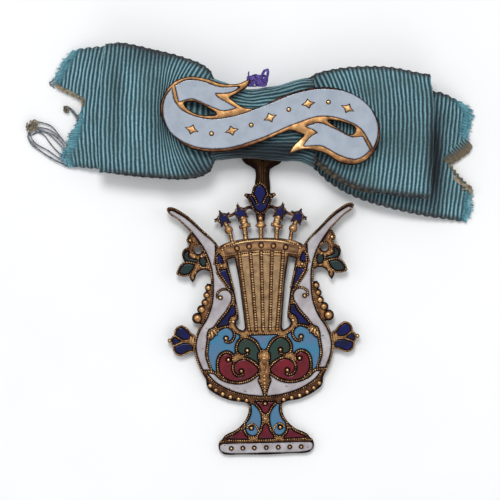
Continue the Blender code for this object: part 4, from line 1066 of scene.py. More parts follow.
# %% Scroll frame and enamels
scroll_outlines = [flowing(loop)[::-1] for loop in outlines("scroll_frame", TO_SCROLL, 0, up=False)]
scroll_floors = [flowing(loop)[::-1] for loop in outlines("scroll_frame", TO_SCROLL, SCROLL_FLOOR)]
metal_plate("scroll_plate", scroll_outlines, SCROLL_FLOOR, ((0, -0.1), (0.05, 0), (0.2, 0)), 0, 0.5, 0.9,
            ("scroll_frame",), place=SCROLL)
RIM_TONES = (((236, 152), (56, 9), 0.24), ((330, 170), (34, 9), 0.34), ((374, 142), (6, 26), 0.28),
           ((163, 112), (6, 26), 0.24), ((300, 93), (50, 5), 0.24), ((296, 148), (9, 7), -0.3),
           ((222, 104), (16, 8), -0.1))


def rim_tone_by_place(point):
    """How much darker the scroll's rim is made by place: darker along its outside, lighter at its tip."""
    return sum(spots(RIM_TONES, *photo_of(*(SCROLL @ Vector((*point[:2], 0))).xy)))


metal_plate("scroll_rim", scroll_outlines + scroll_floors, SCROLL_TOP,
            ((0, -0.3), (0.08, -0.13), (0.18, -0.03), (0.28, 0)), SCROLL_FLOOR, 0.74, 0.2,
            shade=rim_tone_by_place, place=SCROLL)
for solid, slot in SLOTS.items():
    if slot == "scroll_white":
        lay_enamel(solid, TO_SCROLL, SCROLL, SCROLL_FLOOR)
print(len(scroll_outlines), "outlines and", len(scroll_floors), "floors in the scroll")

# %% [markdown]
# ## Small ornaments on the banner
#
# A row of plain lozenges and dots runs along the banner, left standing as islands of gilt
# metal in the enamel, each with the dark line that settles round it. They follow the
# banner's middle, a curve through a few places on it.

# %% Ornaments
BANNER_MIDDLE = ((22, 38), (48, 31), (80, 36), (110, 47), (140, 59), (170, 62), (196, 52))
ORNAMENTS = 9
ORNAMENT_TOP = SCROLL_TOP - 0.04 * MM


def lozenge(middle, half_length, half_width, turn):
    """A four-pointed outline with slightly hollow sides, its sizes in millimetres."""
    outline = []
    for k in range(8):
        angle, reach = math.pi * k / 4, 0.52 if k % 2 else 1
        point = Vector((math.cos(angle) * half_length, math.sin(angle) * half_width)) * reach * MM
        outline.append(middle + Matrix.Rotation(turn, 2) @ point)
    return outline


banner_line = flowing([Vector(place) * PIXEL for place in BANNER_MIDDLE], closed=False)
stations = spaced(banner_line, 1.0 * MM, closed=False)
dark_loops, bright_loops, dots = [], [], []
for k in range(ORNAMENTS):
    at = round((k + 0.5) * (len(stations) - 1) / ORNAMENTS)
    ahead = stations[at + 1] - stations[at]
    if k % 2:
        dots.append(stations[at])
    else:
        turn = math.atan2(ahead.y, ahead.x)
        bright_loops.append(lozenge(stations[at], 1.25, 0.85, turn))
        dark_loops.append(lozenge(stations[at], 1.5, 1.08, turn))
metal_plate("ornament_lines", dark_loops, ORNAMENT_TOP, ((0, 0), (0.05, 0.005), (0.1, 0.01)),
            SCROLL_FLOOR, 0.9, 0.9, place=SCROLL, finish=BRONZE)
metal_plate("ornament_lozenges", bright_loops, ORNAMENT_TOP, ((0, 0.02), (0.06, 0.07), (0.2, 0.09)),
            SCROLL_FLOOR, 0.3, 0.1, place=SCROLL)
for name, size, extra, finish, soot in (("ornament_rings", (0.62, 0.62, 0.13), 0.5, BRONZE, 0.9),
                                        ("ornament_dots", (0.42, 0.42, 0.24), 0, GILT_WIRE, 0.4)):
    lumps(name, BALL, [flat_lump(p, ORNAMENT_TOP - 0.1 * MM, size, 0, extra) for p in dots], finish,
          place=SCROLL, soot_foot=soot)
print(len(bright_loops), "lozenges and", len(dots), "dots")

# %% [markdown]
# ## The strap and the pin
#
# The strap is a strip of bronze that flares where it is sewn behind the knot. Its edges are
# filed round and a rib is chased along its middle. The pin behind the knot is hidden in the
# photograph, so it stays the plain bar of the CAD and only gets the bronze finish.

# %% Strap and pin
strap_low, strap_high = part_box("hanger")
strap = [flowing(loop) for loop in outlines("hanger", Matrix(), strap_high.z)]
metal_plate("strap", strap, strap_high.z, ((0, -0.4), (0.15, -0.16), (0.5, -0.04), (1.1, 0)), strap_low.z,
            0.5, 0.0, ("hanger",), place=Matrix(), finish=BRONZE, slot="bronze")
strap_middle = (strap_low.x + strap_high.x) / 2
rib_run = np.linspace(strap_low.y + 0.4 * MM, strap_high.y - 3.4 * MM, 14)
rib = [flat_lump((strap_middle, y), strap_high.z - 0.1 * MM, (0.34, 0.75, 0.26)) for y in rib_run]
lumps("strap_rib", BALL, rib, BRONZE, "bronze", Matrix(), soot_foot=0.4)
SOLIDS["brooch_pin"].material_slots[0].material = BRONZE
print("Strap", [round(v / MM, 1) for v in strap_high - strap_low], "mm")

# %% [markdown]
# ## Ribbed silk
#
# The ribbon is grosgrain: thick hidden weft cords, packed under fine warp threads, stand up
# as ribs across its width, 0.82 mm apart, and every second rib bulges at the selvedge.
# A picture of stripes would look flat from the side, so the ribs here are real. The mesh
# carries how high each point stands on its rib, how near it is to the selvedge, to a torn end
# or to a rolled hem, and where it lies on the flat ribbon, so that the threads follow the cloth.

# %% Ribbon finish
WARP_PITCH = 0.24  # millimetres from one fine thread to the next, across the ribbon


def silk():
    """Ribbed silk: painted highlights on the crests, painted shade in the grooves, fine warp threads, soil
    with painted shade, and torn ends.
    """
    made, tree, surface, _ = new_finish("teal grosgrain", Roughness=0.62, Sheen_Weight=0.25,
                                        Sheen_Roughness=0.4, Specular_IOR_Level=0.3)
    lay = add(tree, "Attribute", attribute_name="lay").outputs["Vector"]
    across = add(tree, "SeparateXYZ", {"Vector": lay}).outputs["Y"]
    wander, cloud = noise(tree, 2.2, 3.0, lay), noise(tree, 0.16, 4.0, lay)
    stretched = add(tree, "VectorMath", {0: lay, 1: (0.5, 5.0, 1.0)}, operation="MULTIPLY").outputs[0]
    fibres = noise(tree, 1.0, 3.0, stretched)
    warp = sums(tree, "SINE", sums(tree, "MULTIPLY", across, 2 * math.pi / WARP_PITCH), 0.0)
    warp = level(tree, warp, -1.0, 1.0)
    crest = mark_of(tree, "crest")
    for uneven, share in ((wander, 0.5), (warp, 0.2)):
        crest = sums(tree, "ADD", crest, sums(tree, "MULTIPLY", sums(tree, "SUBTRACT", uneven, 0.5), share))
    # the crests get a painted highlight and the grooves painted shade
    colour = ramp(tree, crest, (0.12, paint(22, 48, 62)), (0.42, paint(54, 100, 116)),
                  (0.7, paint(92, 142, 152)), (0.96, paint(158, 194, 199)))
    aged = sums(tree, "MULTIPLY", level(tree, cloud, 0.42, 0.72), 0.5)
    bared = ramp(tree, fibres, (0.36, paint(30, 92, 108)), (0.64, paint(112, 172, 184)))
    rolled = ramp(tree, wander, (0.35, paint(70, 56, 44)), (0.65, paint(142, 128, 100)))
    edging = ramp(tree, wander, (0.42, paint(20, 24, 36)), (0.74, paint(74, 68, 54)))
    colour = blend(tree, aged, colour, paint(54, 78, 76))
    # soil and painted shade darken the ribbon where the soft spots lie
    colour = blend(tree, mark_of(tree, "soil"), colour, paint(64, 76, 84), "MULTIPLY")
    for mark, over in (("torn", bared), ("hem", rolled), ("selvedge", edging)):
        colour = blend(tree, mark_of(tree, mark), colour, over)
    tree.links.new(colour, surface.inputs["Base Color"])
    height = sums(tree, "ADD", sums(tree, "MULTIPLY", warp, 0.5), sums(tree, "ADD", wander, fibres))
    relief_from(tree, surface, height, 0.5, 0.05 * MM)
    return made


SILK = silk()
print("Ribbon finish:", SILK.name)

# %% [markdown]
# ## Laying the ribs
#
# A stretch of ribbon is described by three lines: its lower edge, its middle and its upper
# edge, each with the number of the rib at each place. A rib is the curve through its three
# places. Where the ribbon is gathered, the middle line is short of ribs and they bow, as in
# the real bow beside its knot. From the grid of places comes a closed skin with two faces.

# %% Ribbed cloth
RIBBON_WIDTH, RIB_PITCH, SELVEDGE_WIDTH = 25.6, 0.82, 0.85  # in millimetres
RIB, RIB_SAMPLES = RIB_PITCH * MM, 5
LOW_EDGE, HIGH_EDGE = [0, 0.008, 0.02, 0.035, 0.055], [0.945, 0.965, 0.98, 0.992, 1]
ACROSS = np.concatenate([LOW_EDGE, np.linspace(0.09, 0.91, 17), HIGH_EDGE])
WAVES = ((0.05, 2.3, 0.11), (0.035, 5.1, -0.23), (0.02, 9.7, 0.37))  # size, turns across, turns per rib


def rib_line(places, ribs):
    """A line on the photograph that is crossed by ribs, as a function of the rib's number."""
    path = flowing([seen_at(*p).xy for p in places], 0.4 * MM, closed=False)
    ends = lengths_to(path)
    knots = [0, ends[-1]]
    if len(ribs) > 2:
        knots = [ends[min(range(len(path)), key=lambda k: (path[k] - seen_at(*p).xy).length)] for p in places]
    marks = np.interp(ends, knots, ribs)
    order = np.argsort(marks)
    return lambda rib: np.stack([np.interp(rib, marks[order], np.array([p[axis] for p in path])[order])
                                 for axis in (0, 1)], -1)


def eased(values, reach=7):
    """Takes the corners out of a line by averaging along it."""
    before, after = 2 * values[:1] - values[reach:0:-1], 2 * values[-1:] - values[-2:-reach - 2:-1]
    padded = np.concatenate([before, values, after])
    window = np.hanning(2 * reach + 3)[1:-1]
    window /= window.sum()
    return np.stack([np.convolve(padded[:, k], window, "valid") for k in range(values.shape[1])], -1)


def rib_numbers(rows, across):
    """The number of the rib that each place of a grid lies on."""
    return np.broadcast_to((np.arange(rows) / RIB_SAMPLES)[:, None], (rows, len(across)))


def weave_wander(rows, across):
    """How far each place lies off along the ribbon: the weave was never quite straight."""
    ribs = rib_numbers(rows, across)
    return MM * sum(size * np.sin(2 * np.pi * (often * across + drift * ribs))
                    for size, often, drift in WAVES)


def rows_through(lower, centre, upper, across):
    """Curves through three places each, as a grid of flat points."""
    v = across[None, :, None]
    bend = 2 * centre - (lower + upper) / 2
    grid = lower[:, None] * (1 - v) ** 2 + 2 * bend[:, None] * v * (1 - v) + upper[:, None] * v**2
    grid[..., 0] += weave_wander(len(grid), across)
    return grid


print("Rib pitch", RIB_PITCH, "mm,", len(ACROSS), "places across the ribbon")

# %% [markdown]
# ## From ribs to a skin
#
# The places so far lie in the middle of the cloth. The skin puts one face above them and one
# below, higher on each rib and lower in each groove, lets every second rib bulge at the
# selvedge, and closes the edges. Squares past a torn end are left out before it is closed.

# %% Ribbed skin
SHEET, RELIEF, SCALLOP, SELVEDGE_SWELL, CREST_WIDTH = 0.62 * MM, 0.17 * MM, 0.32 * MM, 0.08 * MM, 0.95
# soft spots of soil and of painted shade on the ribbon: the painted shade stands for the shadows of the right
# loop's fold on its tail and of the scroll on the knot
SOIL_AND_SHADE = (((116, 95), (9, 60), 0.5), ((150, 54), (42, 14), 0.65), ((205, 172), (30, 16), 0.8),
          ((160, 120), (16, 50), 0.4), ((310, 84), (16, 14), 0.5), ((325, 176), (40, 14), 0.6),
          ((435, 158), (10, 62), 1.15), ((380, 202), (60, 12), 0.4), ((262, 152), (70, 14), 1.2),
          ((262, 92), (60, 8), 0.35), ((112, 168), (50, 9), 0.3), ((425, 120), (10, 60), 0.25),
          ((402, 128), (34, 50), 0.36), ((441, 118), (16, 22), 0.4), ((318, 160), (20, 12), 0.8))


def soil_and_shade_at(grid):
    """How soiled the ribbon is and how much painted shade it gets, over its places on the photograph."""
    return np.max(spots(SOIL_AND_SHADE, *photo_of(grid[..., 0], grid[..., 1])), axis=0)


def sheet_faces(count, width, ring, kept):
    """The squares of both faces of a grid of places, and the walls at its open edges."""
    total = count * width
    index = np.arange(total).reshape(count, width)
    ahead = np.roll(index, -1, 0)
    squares = np.stack([index[:, :-1], ahead[:, :-1], ahead[:, 1:], index[:, 1:]], -1)
    squares = squares if ring else squares[:-1]
    squares = squares.reshape(-1, 4) if kept is None else squares[kept]
    edges = np.concatenate([squares[:, [k, (k + 1) % 4]] for k in range(4)])
    rim = edges[~np.isin(edges[:, 1] * total + edges[:, 0], edges[:, 0] * total + edges[:, 1])]
    walls = np.stack([rim[:, 1], rim[:, 0], rim[:, 0] + total, rim[:, 1] + total], -1)
    return np.concatenate([squares, squares[:, ::-1] + total, walls])


def skin(name, grid, ribs, across, ring, torn=0, hem=0, dark_edge=1.0, kept=None, stands_for=(),
         thickness=SHEET):
    """A closed ribbed cloth about a grid of points; kept tells which of its squares are there."""
    torn, hem = torn + 0 * ribs, hem + 0 * ribs
    first, last = (grid[-1:], grid[:1]) if ring else (2 * grid[:1] - grid[1:2], 2 * grid[-1:] - grid[-2:-1])
    longer = np.concatenate([first, grid, last])
    side = np.gradient(grid, axis=1)
    normal = np.cross(longer[2:] - longer[:-2], side)
    normal /= np.linalg.norm(normal, axis=2, keepdims=True) + 1e-12
    selvedge = np.clip(1.15 - np.minimum(across, 1 - across) * RIBBON_WIDTH / SELVEDGE_WIDTH, 0, 1) + 0 * ribs
    # how high a point stands on its rib; the finish paints a highlight on the crest and shade in the groove
    # by it
    crest = (0.5 + 0.5 * np.cos(2 * np.pi * ribs)) ** CREST_WIDTH
    soft = 1 - np.clip(torn + hem, 0, 1)
    bulge = np.abs(np.cos(np.pi * ribs / 2)) * SCALLOP * (selvedge > 0)
    outwards = np.where(across < 0.5, -1.0, 1.0)[None, :, None] * side
    outwards /= np.linalg.norm(side, axis=2, keepdims=True)
    grid = grid + outwards * (bulge * selvedge)[..., None]
    lift = thickness / 2 + (crest - 0.5) * RELIEF * soft + SELVEDGE_SWELL * np.sin(np.pi * selvedge)
    used, faces = np.unique(sheet_faces(*ribs.shape, ring, kept), return_inverse=True)
    normal *= lift[..., None]
    points = np.stack([grid + normal, grid - normal]).reshape(-1, 3)[used]
    lay = np.stack([ribs * RIB_PITCH, across * RIBBON_WIDTH + 0 * ribs, 0 * ribs], -1).reshape(-1, 3)
    # soil and painted shade, from the soft spots
    marks = {"torn": torn, "hem": hem, "crest": np.clip(crest * soft, 0, 1), "soil": soil_and_shade_at(grid),
             "selvedge": np.minimum(1, 1.3 * selvedge) * (1 - torn) * dark_edge}
    both = {key: np.tile(value.reshape(-1), 2)[used] for key, value in marks.items()}
    mesh = mesh_of(name, points, faces.reshape(-1, 4).tolist(), 60, lay=np.tile(lay, (2, 1))[used], **both)
    return new_piece(mesh, SILK, "ribbon", stands_for)


print("Cloth", SHEET / MM, "mm thick, its ribs", RELIEF / MM, "mm high")

# %% [markdown]
# ## The two loops
#
# Both loops are one ring of ribbon, flattened, with its waist inside the knot. The front
# layer follows the outline in the photograph; the back layer lies right under it. The front
# is puffed up a little between the fold and the knot, and gathered beside the knot.

# %% Loops
LEFT_RIBS, WAIST_RIBS, RIGHT_RIBS, FOLD_RIBS = 27, 23, 28, 3
HALF_LAYER, LAYER_GAP, FOLD_REACH = 0.5 * MM, 1.3 * MM, 0.7 * MM
loops_low, loops_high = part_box("bow_loops")
BACK_LAYER = loops_low.z + HALF_LAYER
FRONT_LAYER = BACK_LAYER + LAYER_GAP
PUFF = loops_high.z - FRONT_LAYER - HALF_LAYER
# each stretch of the loops has its lower, its middle and its upper line
LEFT_LINES = (
    rib_line([(104.4, 171.4), (121, 173.8), (143.5, 176.2), (159.4, 177.3), (175.4, 178.6), (191.3, 177.8),
              (204, 174.6), (210.5, 169.8), (213.6, 162.6)], (0, LEFT_RIBS)),
    rib_line([(104.2, 110), (157.7, 113), (176, 116), (206, 118)], (0, 13, 22, LEFT_RIBS)),
    rib_line([(110, 45.4), (118.4, 44.2), (132, 46.2), (151.5, 51), (169, 55), (188, 60.6), (201, 65.4),
              (209, 71.7), (212, 76.5)], (0, LEFT_RIBS)))
WAIST_LINES = (
    rib_line([(213.6, 162.6), (219, 151), (262, 150), (306, 152), (315.4, 159.4)], (0, WAIST_RIBS)),
    rib_line([(206, 118), (262, 120), (318, 120)], (0, WAIST_RIBS)),
    rib_line([(212, 76.5), (218, 89), (240, 96), (280, 95), (302, 90), (309, 79.7)], (0, WAIST_RIBS)))
RIGHT_LINES = (
    rib_line([(424.2, 197.7), (393.5, 194.5), (361.6, 188.1), (339.3, 178.6), (324.9, 167.4), (315.4, 159.4)],
             (0, RIGHT_RIBS)),
    rib_line([(429, 128), (379.8, 126), (352, 122), (335, 120), (318, 120)], (0, 12, 20, 25, RIGHT_RIBS)),
    rib_line([(425.4, 75.7), (409.4, 72.5), (393.5, 69.4), (371, 68.1), (361.6, 68.2), (345.7, 69.4),
              (329.7, 71.7), (315.4, 75.7), (309, 79.7)], (0, RIGHT_RIBS)))


def lifted(flat, height):
    """Flat places with their heights."""
    return np.concatenate([flat, np.broadcast_to(height, flat.shape[:-1])[..., None]], -1)


def puffed(shares):
    """How far the front stands up, at each row and across it."""
    gathers = 1 + 0.6 * (1 - shares)[:, None] * np.cos(4 * np.pi * ACROSS)[None, :]
    crown = (1 - 0.5 * np.abs(2 * ACROSS - 1) ** 3)[None, :]
    return 0.8 * PUFF * np.sin(np.pi * np.clip(shares, 0, 1))[:, None] ** 0.8 * gathers * crown


def fold_rows(flat, side):
    """The rows round a fold: on the right (1) to the back layer, on the left (-1) to the front one."""
    middle, reach = (FRONT_LAYER + BACK_LAYER) / 2, (FRONT_LAYER - BACK_LAYER) / 2
    rows = []
    for turn in np.pi * np.arange(1, FOLD_RIBS * RIB_SAMPLES) / (FOLD_RIBS * RIB_SAMPLES):
        rows.append(lifted(flat + (side * FOLD_REACH * math.sin(turn), 0), middle + reach * math.cos(turn)))
    return np.array(rows[::side])


left = np.arange(LEFT_RIBS * RIB_SAMPLES) / RIB_SAMPLES
waist = np.arange(WAIST_RIBS * RIB_SAMPLES) / RIB_SAMPLES
right = np.arange(RIGHT_RIBS * RIB_SAMPLES + 1) / RIB_SAMPLES
lines = [eased(np.concatenate([a(left), b(waist), c(right[::-1])]))
         for a, b, c in zip(LEFT_LINES, WAIST_LINES, RIGHT_LINES)]
front_flat = rows_through(*lines, ACROSS)
shares = np.concatenate([1 - np.arange(len(left)) / len(left), 0 * waist,
                         np.arange(len(right)) / (len(right) - 1)])
ring = np.concatenate([lifted(front_flat, FRONT_LAYER + puffed(shares)), fold_rows(front_flat[-1], 1),
                       lifted(front_flat[::-1], BACK_LAYER), fold_rows(front_flat[0], -1)])
loop_edge = np.interp(photo_of(ring[..., 0], ring[..., 1])[0], (104, 124), (0.5, 0.95))
loops = skin("ribbon_loops", ring, rib_numbers(len(ring), ACROSS), ACROSS, True, dark_edge=loop_edge,
             stands_for=("bow_loops",))
print("Loops:", len(ring) // RIB_SAMPLES, "ribs round the ring")

# %% [markdown]
# ## The tails
#
# Behind the loops lies a second piece of the same ribbon. Its two ends were once cut to a
# fork; now they are frayed. Where weft cords have dropped out, the warp threads shine bright
# turquoise, and along the fork the cloth has rolled over and gone brown. The tail slopes from
# the loops down to the surface.

# %% Tails
# the frayed ends as (row, column), and how many ribs have dropped out as (row, count); left, then right
ENDS = (
    np.array([(46, 78), (50.5, 70), (60.6, 61.4), (72, 55.5), (80, 52), (86.5, 57), (98.5, 82), (108.4, 79.7),
              (119.6, 78), (132, 70), (143.5, 66), (156, 59.5), (163, 64), (168, 70)]),
    np.array([(98, 460), (102.5, 464), (106.8, 470), (111.6, 473.2), (124.4, 472.4), (138.7, 467.5),
              (147, 467), (156.3, 462), (160.2, 449.5), (172.2, 457.3), (183.4, 468.4), (188.1, 473.2),
              (197.7, 471.6), (208.9, 472.4), (219, 468.4)]))
DROPPED = (
    np.array([(46, 1.6), (60, 2.4), (80, 2.2), (86, 0), (101, 0), (112, 0.6), (130, 2.2), (150, 2.8),
              (168, 2.4)]),
    np.array([(98, 1.6), (110, 2.2), (130, 2.6), (138, 1), (140, 0), (186, 0), (192, 1.4), (219, 2.0)]))
OUTWARD, SOME_DROPPED, HEM_SWELL = (-1, 1), 0.3, 0.2 * MM
TAIL_RIBS, TAIL_REACH = (50.5, 52.5), 58
TAIL_SLOPE = ((0.5, 0.62, 0.78, 1), (1, 0.93, 0.58, 0))  # shares of the way to the end, and of the height
TAIL_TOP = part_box("bow_tails")[1].z - HALF_LAYER
TAIL_ACROSS = np.concatenate([LOW_EDGE, np.linspace(0.08, 0.92, 33), HIGH_EDGE])
LEFT_TAIL = (
    rib_line([(262.5, 150), (215, 153), (190, 166), (150, 169), (102, 167.4), (75.7, 165), (48, 162)],
             (0, TAIL_RIBS[0] + 4)),
    rib_line([(262.5, 120), (190, 116), (104, 110), (48, 112)], (0, TAIL_RIBS[0] + 3.4)),
    rib_line([(262.5, 96), (225, 92), (196, 66), (160, 52), (130, 47), (108, 46), (95.5, 46.6), (87, 47.3),
              (78, 48.5), (70, 50.5), (50, 57)], (0, TAIL_RIBS[0] + 5)))
RIGHT_TAIL = (
    rib_line([(262.5, 150), (300, 156), (318.6, 171.4), (329.7, 181.8), (345.7, 191.3), (361.6, 198.5),
              (385.5, 205.7), (409.4, 211.3), (425.4, 214.4), (454, 218.4), (482, 222)],
             (0, TAIL_RIBS[1] + 5)),
    rib_line([(262.5, 120), (330, 126), (429, 150), (480, 162)], (0, TAIL_RIBS[1] + 3)),
    rib_line([(262.5, 96), (310, 95), (345, 82), (390, 84), (429.4, 90.9), (441.3, 92.5), (457.3, 99.7),
              (480, 110)], (0, TAIL_RIBS[1] + 2)))
ragged = np.random.default_rng(5).uniform(-0.4, 2.2, (2, len(TAIL_ACROSS)))


def tail_side(side, lines):
    """One half of the tails, from the waist past its end: places, rib numbers, marks and kept squares."""
    ribs = rib_numbers(TAIL_REACH * RIB_SAMPLES, TAIL_ACROSS)
    flat = rows_through(*[eased(line(ribs[:, 0]), 5) for line in lines], TAIL_ACROSS)
    column, row = photo_of(flat[..., 0], flat[..., 1])
    dropped = np.interp(row, *DROPPED[side].T)
    torn_here = dropped > SOME_DROPPED
    limit = np.interp(row, *ENDS[side].T) - OUTWARD[side] * torn_here * ragged[side][None, :]
    from_end = OUTWARD[side] * (limit - column) * PIXEL / RIB
    torn = np.clip(1.4 - 1.2 * from_end / np.maximum(dropped, 0.05), 0, 1) * torn_here
    hem = np.clip(1.6 - 1.8 * from_end, 0, 1) * ~torn_here
    slope = np.interp(ribs / TAIL_RIBS[side], *TAIL_SLOPE)
    height = HALF_LAYER + (TAIL_TOP - HALF_LAYER) * slope + HEM_SWELL * hem
    there = from_end[:-1, :-1] + from_end[1:, :-1] + from_end[1:, 1:] + from_end[:-1, 1:] > 0
    return lifted(flat, height), OUTWARD[side] * ribs, torn, hem, there


left_half, right_half = tail_side(0, LEFT_TAIL), tail_side(1, RIGHT_TAIL)
tail_grid, tail_ribs, torn, hem = (np.concatenate([a[:0:-1], b])
                                   for a, b in zip(left_half[:4], right_half[:4]))
tail_edge = np.interp(photo_of(tail_grid[..., 0], tail_grid[..., 1])[0], (104, 420), (0.45, 0.9))
tails = skin("ribbon_tails", tail_grid, tail_ribs, TAIL_ACROSS, False, torn, hem, tail_edge,
             np.concatenate([left_half[4][::-1], right_half[4]]), ("bow_tails",))
print("Tails:", tail_grid.shape[:2], "places")

# %% [markdown]
# ## The knot band
#
# The waist is wrapped by one more turn of the same ribbon. Its ribs run along the bow, not
# across it, and spread like a fan towards the right, because the wrap is pulled tighter on
# the left. It is a ring that goes round the front, under the waist and back.

# %% Knot
knot_low, knot_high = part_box("knot_band")
KNOT_FRONT, KNOT_BACK = knot_high.z - HALF_LAYER, knot_low.z + HALF_LAYER
KNOT_RIBS, WRAP_RIBS, WRAP_ROUND, WRAP_REACH = 17, 8, 1.6 * MM, 1.1 * MM
KNOT_ACROSS = np.linspace(0, 1, 31)
knot_upper = rib_line([(211, 77.5), (223, 81.3), (236, 86), (250, 89), (266.6, 86.8), (279, 84.6),
                       (290, 81.4), (302.6, 78.1), (312.4, 77.6)], (0, 1))(KNOT_ACROSS)
knot_lower = rib_line([(212, 161.9), (240.3, 158.8), (262, 160), (283.2, 161.8), (303, 163.4), (313.8, 168)],
                      (0, 1))(KNOT_ACROSS)


def knot_rows(top, foot):
    """Rows of the wrap: down the front, round the lower fold, up the back and over the top."""
    middle, reach = (KNOT_FRONT + KNOT_BACK) / 2, (KNOT_FRONT - KNOT_BACK) / 2
    rows = []
    for start, end, side in ((top, foot, 1), (foot, top, -1)):
        for t in np.arange(KNOT_RIBS * RIB_SAMPLES) / (KNOT_RIBS * RIB_SAMPLES):
            rows.append(lifted(start * (1 - t) + end * t, middle + side * reach))
        for turn in math.pi * np.arange(WRAP_RIBS * RIB_SAMPLES) / (WRAP_RIBS * RIB_SAMPLES):
            rise = side * WRAP_REACH * math.sin(turn)
            rows.append(lifted(end - (0, rise), middle + side * reach * math.cos(turn)))
    return np.array(rows)


knot_grid = knot_rows(knot_upper - (0, WRAP_ROUND), knot_lower + (0, WRAP_ROUND))
knot_grid[..., 1] += weave_wander(len(knot_grid), KNOT_ACROSS)
knot = skin("ribbon_knot", knot_grid, rib_numbers(len(knot_grid), KNOT_ACROSS), KNOT_ACROSS, True,
            dark_edge=0.6, stands_for=("knot_band",))
print("Knot band:", len(knot_grid) // RIB_SAMPLES, "ribs round")

# %% [markdown]
# ## Loose threads
#
# Warp threads hang out of the left tail in two small brushes, bent and gone brown at their
# tips, where they are wound into little heads. A thread is a thin tube along a curve. Five
# sides are enough for a tube a quarter of a millimetre thick, and a hair system would not
# keep each thread where the photograph has it.

# %% Threads
# the step along a thread, the share of its thickness left at its ends, and the steps of a curl
THREAD_STEP, THREAD_END, CURL_STEPS = 0.35 * MM, 0.45, 6
FRAY_START, FRAY_END = 0.9, 0.25  # a loose thread's heights, in millimetres
FRAYS = [
    [(69, 147.4), (59.3, 135.4), (50.2, 124.9), (36, 120), (31, 124), (27.4, 133)],
    [(66, 143), (58, 135.4), (48, 128.4), (35.4, 125.6), (29, 129)],
    [(66, 149), (59.3, 139.6), (51.6, 133.3), (38.2, 130.5), (30, 134)],
    [(67.7, 166), (55, 159.3), (37.5, 148), (30.5, 141), (27, 136), (29.6, 128), (34, 121)],
    [(68, 162), (60, 158.3), (48, 150), (32, 139.6), (28.6, 133), (32, 125)],
    [(66, 157), (60, 153.4), (49.5, 142.5), (43, 134), (35, 130)],
    [(68, 156), (62, 147), (54, 138.5), (45, 131), (34, 127)],
    [(69, 164.5), (57, 161), (40, 150.4), (29.6, 142), (26.4, 135), (30, 126)],
    [(79, 119.5), (72, 109), (66, 104.6), (63.5, 107), (66, 112)],
    [(79, 121), (73, 113), (68, 106), (64, 106)],
    [(78, 120), (70, 108.4), (65, 105.6), (64.4, 111.5)],
    [(57, 80), (52, 79), (48.5, 81), (49.6, 84.4)],
    [(58, 83), (54, 82.4), (50, 83.2), (54, 86.6)],
]
chance = np.random.default_rng(11)


def thread_finish(name, dark, light, sheen=0.3):
    """Soft thread in two shades of one colour."""
    made, tree, surface, place = new_finish(name, Roughness=0.7, Sheen_Weight=sheen)
    shades = ramp(tree, noise(tree, 1400.0, 2.0, place), (0.35, paint(*dark)), (0.65, paint(*light)))
    tree.links.new(shades, surface.inputs["Base Color"])
    relief_from(tree, surface, noise(tree, 9000.0, 2.0, place), 0.4, 0.03 * MM)
    return made


def threads(name, runs, radius, finish, sides=5):
    """Thin tubes along curves, in one piece, their radius in millimetres."""
    points, faces = [], []
    for run in runs:
        path = flowing([Vector(p) for p in run], THREAD_STEP, closed=False)
        start = len(points)
        for i, place in enumerate(path):
            ahead = (path[min(i + 1, len(path) - 1)] - path[max(i - 1, 0)]).normalized()
            side = ahead.cross(Vector((0, 0, 1))).normalized()
            up = side.cross(ahead)
            thin = radius * MM * (THREAD_END if i in (0, len(path) - 1) else 1)
            for turn in (2 * math.pi * k / sides for k in range(sides)):
                points.append(place + (side * math.cos(turn) + up * math.sin(turn)) * thin)
        for i in range(start, len(points) - sides, sides):
            corners = [(i + k, i + (k + 1) % sides) for k in range(sides)]
            faces += [(a, b, b + sides, a + sides) for a, b in corners]
        faces += [tuple(range(start, start + sides))[::-1], tuple(range(len(points) - sides, len(points)))]
    new_piece(mesh_of(name, points, faces, 80), finish, "ribbon")


def fray(places):
    """A loose warp thread, from the tail down to the surface, over places on the photograph."""
    heights = np.linspace(FRAY_START, FRAY_END, len(places))
    return [seen_at(c, r, h * MM) for (c, r), h in zip(places, heights)]


def curls(count, column, row, spread, heights, reach):
    """Short curls of thread wound over each other: places, heights and sizes are drawn by lot."""
    runs = []
    for k in range(count):
        c, r = column + spread[0] * chance.uniform(-1, 1), row + spread[1] * chance.uniform(-1, 1)
        height, turn, size = chance.uniform(*heights), chance.uniform(0, 2 * math.pi), chance.uniform(*reach)
        run = []
        for step in range(CURL_STEPS):
            angle = turn + step * chance.uniform(0.8, 1.3)
            rise = 0.3 * math.sin(2.1 * step + k)
            run.append(seen_at(c + size * math.cos(angle), r + 0.75 * size * math.sin(angle),
                               (height + rise) * MM))
        runs.append(run)
    return runs


threads("frayed_warp", [fray(places) for places in FRAYS], 0.14,
        thread_finish("frayed warp", (48, 58, 76), (128, 134, 138)))
heads = curls(20, 31.5, 124.5, (3.5, 5), (0.6, 1.3), (2, 4))
heads += curls(9, 65, 108, (1.6, 2.4), (0.6, 1.0), (1.5, 2.6))
threads("fray_heads", heads, 0.13, thread_finish("soiled thread heads", (70, 64, 56), (164, 150, 122)))
print(len(FRAYS), "loose warp threads and", len(heads), "curls in their heads")

# %% [markdown]
# ## Torn fringes and rolled hems
#
# Along the torn ends the weft has dropped out, and the warp stands there as a fringe of fine
# turquoise threads. Along the fork's inner edges the cloth has rolled into a brown hem
# instead. Both are threads again, thin ones for the fringe and thick ones for the hem: a
# picture on the ribbon's end would show its straight cut from the side.

